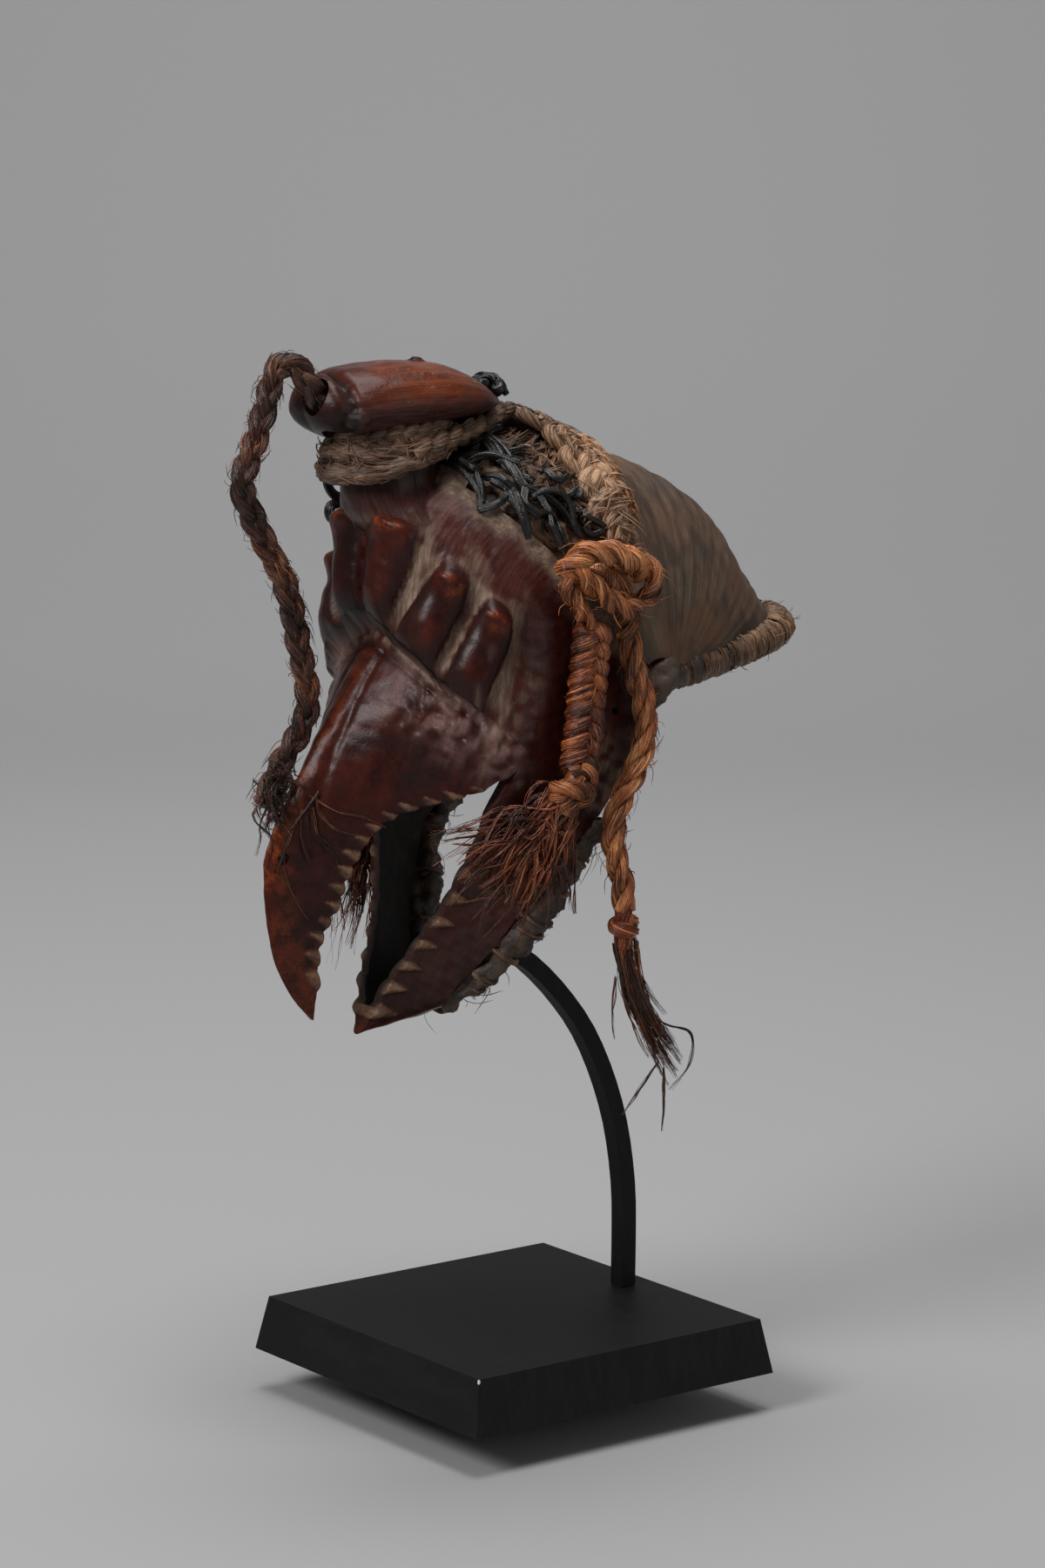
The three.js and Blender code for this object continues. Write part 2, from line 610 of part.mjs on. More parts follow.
function seamPlait() {
  const rings = [];
  const steps = 20;
  for (let i = 0; i <= steps; i += 1) {
    const round = PLAIT_END * (2 * i / steps - 1);
    const crown = 1 - smooth(0.1, 0.55, Math.abs(round));
    const climb = PLAIT_CLIMB * crown;
    const turn = 106.5 + 11 * Math.sin(round) ** 4;
    const { y, z } = onHood(turn, round, 0);
    const radius = Math.hypot(y - HOOD_PIVOT_Y, z - HOOD_PIVOT_Z);
    const widthTurn = THREE.MathUtils.radToDeg((PLAIT_HALF_WIDTH + 4 * crown) / radius);
    const ring = [];
    const outline = [[-1, PLAIT_UNDER], [-0.85, 7 - 0.3 * climb], [-0.4, PLAIT_THICKNESS - 0.5 * climb],
      [0.4, PLAIT_THICKNESS + climb], [0.85, 7 + climb], [1, PLAIT_UNDER], [0.35, PLAIT_UNDER],
      [-0.35, PLAIT_UNDER]];
    for (const [share, lift] of outline) ring.push(onHood(turn + share * widthTurn, round, lift));
    rings.push(ring);
  }
  return loft(rings);
}

// The collar is a plaited roll round the neck, thick in front and thin under the crest's tail
const COLLAR_COLUMNS = 7;
const COLLAR_HALF_WIDTH = 27.9;
const COLLAR_HALF_LENGTH = 33.2;
const COLLAR_HALF_THICKNESS = 5.2;

function crestCollar() {
  const steps = 22;
  const count = COLLAR_COLUMNS;
  const points = [];
  const faces = [];
  for (let s = 0; s < steps; s += 1) {
    const angle = 2 * Math.PI * s / steps;
    const rear = (1 - Math.cos(angle)) / 2;
    const centreY = -86 - COLLAR_HALF_LENGTH * Math.cos(angle);
    const centre = new THREE.Vector3(COLLAR_HALF_WIDTH * Math.sin(angle), centreY, 490.5 + 14.5 * rear ** 1.5);
    const outX = Math.sin(angle) / COLLAR_HALF_WIDTH;
    const outY = -Math.cos(angle) / COLLAR_HALF_LENGTH;
    const length = Math.hypot(outX, outY);
    const halfHeight = 9.5 - 4.6 * rear;
    for (let i = 0; i < count; i += 1) {
      const turn = 2 * Math.PI * i / count;
      const out = COLLAR_HALF_THICKNESS * Math.cos(turn);
      points.push(new THREE.Vector3(centre.x + out * outX / length, centre.y + out * outY / length,
        centre.z + halfHeight * Math.sin(turn)));
    }
    for (let i = 0; i < count; i += 1) {
      const a = s * count + i;
      const b = s * count + (i + 1) % count;
      const c = ((s + 1) % steps) * count + (i + 1) % count;
      const d = ((s + 1) % steps) * count + i;
      faces.push(a, b, c, a, c, d);
    }
  }
  return facing(points, faces);
}

// Lacing: each vine is a line of [turn, round, lift] on the hood. The arcs end over the carving's edge, which
// stands proud of the hood, most of all in the middle. Only the left side's first arc crosses the crown.
const SEAM_VINE = [[124, 0.25, 7], [122, 0.29, 8], [121, 0.36, 7.5], [120.5, 0.45, 7.5], [121, 0.56, 8],
  [122, 0.68, 8], [121.5, 0.75, 8.5], [122.5, 0.83, 8], [124, 0.9, 7]];
const MIDDLE_ARC = [[122.5, 0.31, 8], [127, 0.3, 7], [129, 0.38, 8.5], [129, 0.52, 11], [130.5, 0.61, 12.5],
  [133.5, 0.68, 13.8], [136.5, 0.74, 11.6]];
const OUTER_ARC = [[122, 0.6, 8], [125, 0.6, 7.5], [128, 0.7, 9], [130, 0.8, 10.5], [133, 0.88, 11.8],
  [136.5, 0.94, 10.2]];
const CREST_VINE = [[121, 0.33, 7.5], [117.8, 0.2, 10.5], [116.4, 0.12, 13]];
const LEFT_VINES = [
  [[129.5, -0.14, 6], [128, 0.01, 8.5], [128.5, 0.1, 9.5], [130, 0.2, 9.5], [131.3, 0.32, 10.5],
    [133.5, 0.41, 15.4], [136.5, 0.47, 13.4]],
  [[128.2, 0.12, 9], [126, 0.17, 6.5], [124, 0.25, 7]],
  [[128, 0.01, 8.5], [124.5, 0, 8.5], [121.5, 0, 9.5], [118.5, -0.03, 11]],
];
const RIGHT_VINES = [
  [[124, 0.26, 7.5], [127.5, 0.27, 8], [130.3, 0.3, 10.5], [133.5, 0.4, 15.4], [136.5, 0.46, 13.4]],
];

function lacing(side) {
  const own = side > 0 ? LEFT_VINES : RIGHT_VINES;
  const vines = [SEAM_VINE, MIDDLE_ARC, OUTER_ARC, CREST_VINE, ...own].map((line) => {
    const points = line.map(([turn, round, lift]) => onHood(turn, side * round, lift));
    return solidOf(tube(points, VINE_RADIUS, line.length + 2, 5));
  });
  return geometryOf(vines.reduce((all, vine) => all.add(vine)));
}

// The lump of vine sits on the tail of the crest
function crownKnot() {
  const first = solidOf(ball(new THREE.Vector3(-4, -24, 531), 6.5, 6.5, 4.8, 8, 6));
  const second = solidOf(ball(new THREE.Vector3(1.5, -18, 529), 6, 5, 4.6, 8, 6));
  return geometryOf(first.add(second));
}

// The binding follows the rear edge of cheeks and chin, just behind the wood, thickest below the cheeks:
// [x, down, forward, radius]
const BINDING_LINE = [[64, 90, -87.6, 6], [63, 105, -84.4, 5.4], [60, 122, -84.2, 7.6], [56, 133, -87.4, 8],
  [51, 145, -92, 9], [44, 161, -95.3, 9], [36, 177, -97.8, 7.5], [28, 189, -100.2, 6.8], [20, 198, -101.2, 5.6],
  [11, 203, -104.5, 4.8], [0, 204.5, -107, 4.6]];

function jawBinding() {
  const left = BINDING_LINE.map(([x, down, forward]) => seat(x, forward, down));
  const right = left.slice(0, -1).reverse().map((point) => new THREE.Vector3(-point.x, point.y, point.z));
  const radii = BINDING_LINE.map(([, , , radius], i) => [i, radius]);
  const last = radii.length - 1;
  return roll([...left, ...right], (share) => along(radii, last * (1 - Math.abs(2 * share - 1))), 26, 7);
}

function sideKnot(side) {
  const middle = new THREE.Vector3(side * 84, -6, 434);
  const loops = [
    { at: [0, -3, 4], radius: 13, thick: 7, tilt: 0.5 },
    { at: [0, 8, -4], radius: 12, thick: 7, tilt: -0.6 },
  ];
  let solid = solidOf(ball(middle, 9, 17, 15, 9, 5));
  for (const { at, radius, thick, tilt } of loops) {
    const loop = new THREE.TorusGeometry(radius, thick, 5, 8);
    loop.rotateY(Math.PI / 2);
    loop.rotateX(tilt);
    loop.translate(middle.x + at[0], middle.y + at[1], middle.z + at[2]);
    solid = solid.add(solidOf(loop));
  }
  return geometryOf(solid);
}

function braidKnot(side) {
  return ball(new THREE.Vector3(side * 81.5, -27, 323), 10.5, 13, 11, 10, 7);
}

// The frayed end of the braid fans out forward over the jaw on the left side and hangs lower on the right
const LEFT_FAN = [[-53, 328], [-64.5, 324], [-76.5, 315.5], [-82.5, 305], [-82.5, 286], [-70, 283], [-58, 283],
  [-53.5, 272], [-48, 261], [-40, 257], [-33, 267], [-27, 284]];
const RIGHT_FAN = [[-50, 318], [-60, 300], [-68, 275], [-73, 248], [-70, 228], [-58, 228], [-47, 246],
  [-38, 262], [-30, 284]];

function braidTassel(side) {
  const outline = [[-38, 311.3], [-42, 322], ...(side > 0 ? LEFT_FAN : RIGHT_FAN), [-21, 300], [-19, 311.3]];
  return slab(outline, (y, z, share) => {
    const forward = Math.min(y + 40, 0);
    const inner = 71.8 + 0.42 * forward;
    const outer = 86 + 0.47 * forward;
    return new THREE.Vector3(side * (inner + (outer - inner) * share), y, z);
  });
}

function cordKnot(side) {
  const { y } = (side > 0 ? LEFT_CORD_ROUTE : RIGHT_CORD_ROUTE).at(-1);
  return ball(new THREE.Vector3(side * 79, y, 251), 8.5, 8.5, 8.4, 10, 7);
}

// The cord's frayed end, each ring [height, shift in Y from the knot, radius]
const LEFT_TASSEL_RINGS = [[242, 1, 5.5], [232, 4, 7], [215, 11.5, 8], [198, 20.5, 9], [180, 29.5, 9],
  [168, 32.5, 6]];
const RIGHT_TASSEL_RINGS = [...LEFT_TASSEL_RINGS.slice(0, 3), [200, 17.5, 8.5], [190, 20, 5.5]];

function cordTassel(side) {
  const { y } = (side > 0 ? LEFT_CORD_ROUTE : RIGHT_CORD_ROUTE).at(-1);
  const rings = (side > 0 ? LEFT_TASSEL_RINGS : RIGHT_TASSEL_RINGS).map(([z, shift, radius]) => {
    const ring = [];
    for (let i = 0; i < 8; i += 1) {
      const angle = 2 * Math.PI * i / 8;
      const x = side * 79 + radius * Math.cos(angle);
      ring.push(new THREE.Vector3(x, y + shift + radius * Math.sin(angle), z));
    }
    return ring;
  });
  return loft(rings);
}

// The stand: plinth, bent square rod and the tongue that carries the jaw from inside
function standBase() {
  const half = BASE_SIDE / 2;
  const top = BASE_TOP_SIDE / 2;
  const corners = [[-1, -1], [1, -1], [1, 1], [-1, 1]];
  const rings = [[half, 0], [top, BASE_HEIGHT]]
    .map(([size, z]) => corners.map(([x, y]) => new THREE.Vector3(x * size, y * size, z)));
  return loft(rings);
}

const ROD_FOOT_Y = 76.5;
const ROD_BEND = [[76.5, 60], [76, 80], [74.3, 96], [70.5, 117], [66, 133], [60, 149], [52, 166], [43, 181],
  [31, 196], [17.5, 210], [3, 222], [-13, 231], [-30, 236], [-46, 237.5], [-60, 236.5]];

function standRod() {
  const square = new THREE.Shape();
  const h = ROD_SIDE / 2;
  square.moveTo(-h, -h);
  square.lineTo(h, -h);
  square.lineTo(h, h);
  square.lineTo(-h, h);
  square.closePath();
  const foot = [[ROD_FOOT_Y, BASE_HEIGHT + GAP]];
  const points = [...foot, ...ROD_BEND].map(([y, z]) => new THREE.Vector3(0, y, z));
  const path = new THREE.CatmullRomCurve3(points, false, "centripetal");
  const rod = solidOf(new THREE.ExtrudeGeometry(square, { steps: 24, extrudePath: path }));
  const leg = new THREE.BoxGeometry(ROD_SIDE, 5, 28);
  leg.translate(0, -59, 225);
  const tongue = new THREE.BoxGeometry(13, 26, 3);
  tongue.rotateX(0.19);
  tongue.translate(0, -63, 212.5);
  return geometryOf(rod.add(solidOf(leg)).add(solidOf(tongue)));
}

const mask = new THREE.Group();

function addPiece(name, geometry, look) {
  const piece = new THREE.Mesh(geometry, new THREE.MeshStandardMaterial(look));
  piece.name = name;
  geometry.computeVertexNormals();
  mask.add(piece);
}

addPiece("stand_base", standBase(), MATTE_BLACK);
addPiece("stand_rod", standRod(), MATTE_BLACK);
addPiece("carved_mask", carvedMask(), OXBLOOD_WOOD);
addPiece("hood", hood(), WOVEN_HOOD);
addPiece("hood_rim", hoodRim(), LEATHER_BINDING);
addPiece("crest_collar", crestCollar(), DUSTY_FIBRE);
addPiece("seam_plait", seamPlait(), DUSTY_FIBRE);
addPiece("crown_knot", crownKnot(), VINE);
addPiece("jaw_binding", jawBinding(), LEATHER_BINDING);
addPiece("front_rope", tube(FRONT_ROPE_ROUTE, FRONT_ROPE_DIAMETER / 2, 22), DARK_RAFFIA);
for (const [word, side] of [["left", 1], ["right", -1]]) {
  addPiece(`${word}_lacing`, lacing(side), VINE);
  addPiece(`${word}_knot`, sideKnot(side), RAFFIA);
  addPiece(`${word}_braid`, tube(BRAID_ROUTE.map((p) => mirrored(p, side)), BRAID_DIAMETER / 2, 7), RAFFIA);
  addPiece(`${word}_braid_knot`, braidKnot(side), RAFFIA);
  addPiece(`${word}_braid_tassel`, braidTassel(side), DARK_RAFFIA);
  const cordRoute = side > 0 ? LEFT_CORD_ROUTE : RIGHT_CORD_ROUTE;
  addPiece(`${word}_cord`, tube(cordRoute, SIDE_CORD_DIAMETER / 2, 9), RAFFIA);
  addPiece(`${word}_cord_knot`, cordKnot(side), RAFFIA);
  addPiece(`${word}_cord_tassel`, cordTassel(side), DARK_RAFFIA);
}

export default mask;
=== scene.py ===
# A carved bird mask with a woven hood and raffia ropes, on a bent rod and a square plinth.
# Lengths below are millimetres; every mesh is made in metres in the frame of the solids.
import bpy
import json
import math
import numpy as np
from mathutils import Matrix, Vector, kdtree
from mathutils.bvhtree import BVHTree

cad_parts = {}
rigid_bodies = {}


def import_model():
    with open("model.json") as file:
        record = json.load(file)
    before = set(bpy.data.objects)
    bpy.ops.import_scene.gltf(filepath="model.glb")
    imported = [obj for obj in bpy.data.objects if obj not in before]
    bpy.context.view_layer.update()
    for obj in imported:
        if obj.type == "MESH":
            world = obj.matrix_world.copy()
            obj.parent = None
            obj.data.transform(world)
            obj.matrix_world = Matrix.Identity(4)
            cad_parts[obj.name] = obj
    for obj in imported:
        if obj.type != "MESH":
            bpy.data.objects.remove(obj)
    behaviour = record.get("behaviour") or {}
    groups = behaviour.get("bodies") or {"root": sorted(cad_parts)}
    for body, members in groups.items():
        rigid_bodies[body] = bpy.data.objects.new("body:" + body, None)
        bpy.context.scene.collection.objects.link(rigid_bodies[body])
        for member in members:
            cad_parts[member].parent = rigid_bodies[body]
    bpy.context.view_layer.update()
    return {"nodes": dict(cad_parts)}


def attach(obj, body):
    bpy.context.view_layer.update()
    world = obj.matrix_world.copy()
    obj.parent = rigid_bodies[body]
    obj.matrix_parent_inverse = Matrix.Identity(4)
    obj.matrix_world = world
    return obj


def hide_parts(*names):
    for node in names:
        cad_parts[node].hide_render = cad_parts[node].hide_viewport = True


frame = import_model()
scene = bpy.context.scene
MM = 0.001


# Camera: the photograph's position, frame and long lens
CAMERA_AT = (1.8008, -1.3943, 0.6886)
CAMERA_RIGHT = (0.6114, 0.7912, 0.0111)
CAMERA_UP = (-0.1344, 0.0900, 0.9868)
CAMERA_BACK = (0.7798, -0.6049, 0.1614)
CAMERA_LENS = 100
CAMERA_SENSOR = 36
CAMERA_SEES_TO = 60


def place_camera():
    """The photograph's own view."""
    data = bpy.data.cameras.new("camera")
    data.lens = CAMERA_LENS
    data.sensor_width = CAMERA_SENSOR
    data.clip_end = CAMERA_SEES_TO
    camera = bpy.data.objects.new("camera", data)
    axes = Matrix((CAMERA_RIGHT, CAMERA_UP, CAMERA_BACK)).transposed()
    camera.matrix_world = Matrix.Translation(CAMERA_AT) @ axes.to_4x4()
    scene.collection.objects.link(camera)
    scene.camera = camera


place_camera()


# Small tools for numbers and lines
def along(line, position):
    """A smooth line through [position, value] pairs, read at any positions."""
    at = np.array([p[0] for p in line], float)
    value = np.array([p[1] for p in line], float)
    position = np.asarray(position, float)
    i = np.clip(np.searchsorted(at, position, side="left") - 1, 0, len(at) - 2)
    before = np.maximum(np.arange(len(at)) - 1, 0)
    after = np.minimum(np.arange(len(at)) + 1, len(at) - 1)
    slope = (value[after] - value[before]) / (at[after] - at[before])
    span = at[i + 1] - at[i]
    u = np.clip((position - at[i]) / span, 0, 1)
    return ((2 * u**3 - 3 * u**2 + 1) * value[i] + (u**3 - 2 * u**2 + u) * span * slope[i]
            + (3 * u**2 - 2 * u**3) * value[i + 1] + (u**3 - u**2) * span * slope[i + 1])


def smooth(start, end, value):
    """0 at the start and 1 at the end, with a soft rise between; the end may come first."""
    u = np.clip((np.asarray(value, float) - start) / (end - start), 0, 1)
    return u * u * (3 - 2 * u)


def unit(vectors):
    """The same directions, one long."""
    return vectors / np.linalg.norm(vectors, axis=-1, keepdims=True)


def ripple(points, size, seed):
    """Soft random waves of about one size, between -1 and 1."""
    waves = 9
    rng = np.random.default_rng(seed)
    direction = unit(rng.normal(size=(waves, 3)))
    number = 2 * math.pi / (size * rng.uniform(0.7, 1.5, waves))
    phase = rng.uniform(0, 2 * math.pi, waves)
    total = np.zeros(len(points))
    for d, k, p in zip(direction, number, phase):
        total += np.cos(points @ (d * k) + p)
    return total / waves**0.5 * 0.8


def distances(points):
    """How far along a line each of its points is."""
    return np.concatenate([[0], np.cumsum(np.linalg.norm(np.diff(points, axis=0), axis=1))])


def route(points, step):
    """Points a step apart on a smooth curve through the given ones."""
    p = np.array(points, float)
    p = np.vstack([2 * p[0] - p[1], p, 2 * p[-1] - p[-2]])
    dense = []
    for i in range(1, len(p) - 2):
        t = [0]
        for k in range(3):
            t.append(t[-1] + max(np.linalg.norm(p[i + k] - p[i + k - 1]), 1e-6) ** 0.5)
        for u in np.linspace(t[1], t[2], 24, endpoint=False):
            a = [((t[k + 1] - u) * p[i + k - 1] + (u - t[k]) * p[i + k]) / (t[k + 1] - t[k])
                 for k in range(3)]
            b = [((t[k + 2] - u) * a[k] + (u - t[k]) * a[k + 1]) / (t[k + 2] - t[k]) for k in range(2)]
            dense.append(((t[2] - u) * b[0] + (u - t[1]) * b[1]) / (t[2] - t[1]))
    dense.append(p[-2])
    dense = np.array(dense)
    length = distances(dense)
    count = max(int(round(length[-1] / step)), 3) + 1
    at = np.linspace(0, length[-1], count)
    return np.stack([np.interp(at, length, dense[:, k]) for k in range(3)], 1)


def length_of(points):
    """The length of a line."""
    return float(np.linalg.norm(np.diff(points, axis=0), axis=1).sum())


def frames(points, first=(0.0, 0.0, 1.0)):
    """Directions along, and two across, that turn as little as they can."""
    tangent = unit(np.gradient(points, axis=0))
    side = np.array(first, float)
    sides = []
    for t in tangent:
        side = unit(side - t * (side @ t))
        sides.append(side)
    sides = np.array(sides)
    return tangent, sides, np.cross(tangent, sides)


def sided(points, side):
    """The same points on the left (1) or mirrored to the right (-1)."""
    return np.array(points, float) * (side, 1, 1)


def read_rows(at, rows):
    """Rows of points or directions, read between two of them."""
    return np.stack([np.interp(at, np.arange(len(rows)), rows[:, k]) for k in range(3)], 1)


def on_circle(turn, a, b):
    """Directions at a turn between two square ones."""
    return np.cos(turn)[:, None] * a + np.sin(turn)[:, None] * b


def new_mesh(name, points, faces):
    """A mesh object from millimetre points."""
    mesh = bpy.data.meshes.new(name)
    mesh.from_pydata((np.asarray(points) * MM).tolist(), [], [list(map(int, f)) for f in faces])
    mesh.validate()
    piece = bpy.data.objects.new(name, mesh)
    scene.collection.objects.link(piece)
    return piece


def store(piece, name, values):
    """Keeps a number or a vector at each point of a mesh."""
    values = np.asarray(values, np.float32)
    kind, field = ("FLOAT", "value") if values.ndim == 1 else ("FLOAT_VECTOR", "vector")
    piece.data.attributes.new(name, kind, "POINT").data.foreach_set(field, values.ravel())


def loft(rings):
    """Points and faces of a closed skin over rings of equal length."""
    rings = np.asarray(rings, float)
    rows, count = rings.shape[:2]
    points = rings.reshape(-1, 3)
    index = np.arange(rows * count).reshape(rows, count)
    over = np.roll(index, -1, axis=1)
    faces = np.stack([index[:-1], over[:-1], over[1:], index[1:]], -1).reshape(-1, 4).tolist()
    for row, flip in ((0, True), (rows - 1, False)):
        ring = list(range(row * count, (row + 1) * count))
        hub = len(points)
        points = np.vstack([points, rings[row].mean(axis=0)])
        for a, b in zip(ring, ring[1:] + ring[:1]):
            faces.append([hub, b, a] if flip else [hub, a, b])
    return points, faces


def outwards(points, faces):
    """The same faces, turned to point out of the skin."""
    p = np.asarray(points)
    volume = 0.0
    for f in faces:
        for k in range(1, len(f) - 1):
            volume += p[f[0]] @ np.cross(p[f[k]], p[f[k + 1]])
    return faces if volume > 0 else [list(f)[::-1] for f in faces]


def closed_piece(name, points, faces):
    """A closed mesh that faces outwards."""
    return new_mesh(name, points, outwards(points, faces))


def evaluated(piece, name):
    """A plain mesh object of what a piece's modifiers make of it; the piece itself goes."""
    graph = bpy.context.evaluated_depsgraph_get()
    mesh = bpy.data.meshes.new_from_object(piece.evaluated_get(graph), depsgraph=graph)
    bpy.data.batch_remove((piece, piece.data))
    mesh.name = name
    result = bpy.data.objects.new(name, mesh)
    scene.collection.objects.link(result)
    return result


def cut(piece, cutters, operation="DIFFERENCE"):
    """Cuts pieces from a solid, or joins them to it."""
    name = piece.name
    for cutter in cutters:
        modifier = piece.modifiers.new("cut", "BOOLEAN")
        modifier.operation = operation
        modifier.solver = "MANIFOLD"
        modifier.object = cutter
    result = evaluated(piece, name)
    for cutter in cutters:
        bpy.data.objects.remove(cutter)
    return result


def join(name, pieces):
    """One object from several, with their attributes."""
    with bpy.context.temp_override(active_object=pieces[0], selected_editable_objects=pieces):
        bpy.ops.object.join()
    pieces[0].name = name
    pieces[0].data.name = name
    return pieces[0]


def points_of(piece):
    """A mesh's points in millimetres."""
    count = len(piece.data.vertices)
    flat = np.empty(count * 3, np.float32)
    piece.data.vertices.foreach_get("co", flat)
    return flat.reshape(-1, 3).astype(float) / MM


def shade_smooth(piece, angle=None):
    """Smooth shading, with edges sharper than an angle in degrees left sharp."""
    piece.data.shade_smooth()
    if angle is not None:
        piece.data.set_sharp_from_angle(angle=math.radians(angle))


# Node trees
class Graph:
    """Adds nodes to a tree, and feeds their sockets with values or with other nodes."""

    def __init__(self, tree):
        self.tree = tree

    def add(self, kind, sockets=None, **settings):
        node = self.tree.nodes.new(kind)
        for key, value in settings.items():
            setattr(node, key, value)
        for key, value in (sockets or {}).items():
            self.feed(node.inputs[key], value)
        return node

    def shape(self, kind, sockets=None, **settings):
        return self.add("GeometryNode" + kind, sockets, **settings)

    def feed(self, socket, value):
        if isinstance(value, bpy.types.NodeSocket):
            self.tree.links.new(value, socket)
        elif isinstance(value, bpy.types.Node):
            self.tree.links.new(next(s for s in value.outputs if s.enabled), socket)
        else:
            socket.default_value = value

    def math(self, operation, a, b=None, c=None):
        sockets = {i: v for i, v in enumerate((a, b, c)) if v is not None}
        return self.add("ShaderNodeMath", sockets, operation=operation)

    def vector(self, operation, a, b=None):
        sockets = {i: v for i, v in enumerate((a, b)) if v is not None}
        if operation == "SCALE":
            sockets = {0: a, "Scale": b}
        return self.add("ShaderNodeVectorMath", sockets, operation=operation)

    def times(self, a, b):
        return self.math("MULTIPLY", a, b)

    def plus(self, a, b):
        return self.math("ADD", a, b)

    def scaled(self, value, slope, start):
        return self.math("MULTIPLY_ADD", value, slope, start)

    def span(self, value, low, high, to_low=0.0, to_high=1.0):
        return self.add("ShaderNodeMapRange", {"Value": value, "From Min": low, "From Max": high,
                                               "To Min": to_low, "To Max": to_high},
                        interpolation_type="SMOOTHSTEP")

    def mix(self, share, a, b):
        """One colour over another; a plain colour is three numbers."""
        node = self.add("ShaderNodeMix", {0: share}, data_type="RGBA")
        for socket, colour in ((6, a), (7, b)):
            self.feed(node.inputs[socket], (*colour, 1) if isinstance(colour, tuple) else colour)
        return node.outputs[2]

    def noise(self, vector, scale, detail=3.0, rough=0.55):
        return self.add("ShaderNodeTexNoise", {"Vector": vector, "Scale": scale, "Detail": detail,
                                               "Roughness": rough}).outputs[0]

    def attribute(self, name):
        return self.add("ShaderNodeAttribute", attribute_name=name).outputs["Fac"]

    def flow(self):
        """Place along and across a piece's fibres."""
        return self.add("ShaderNodeAttribute", attribute_name="flow").outputs["Vector"]

    def place(self):
        return self.add("ShaderNodeTexCoord").outputs["Object"]

    def stored(self, geometry, name, value, kind="FLOAT"):
        """Keeps a field at each point under a name, inside a tree of geometry."""
        return self.shape("StoreNamedAttribute", {"Geometry": geometry, "Name": name, "Value": value},
                          data_type=kind, domain="POINT")


CORE_SIDES = 10
ALONG_SHARE = 0.06


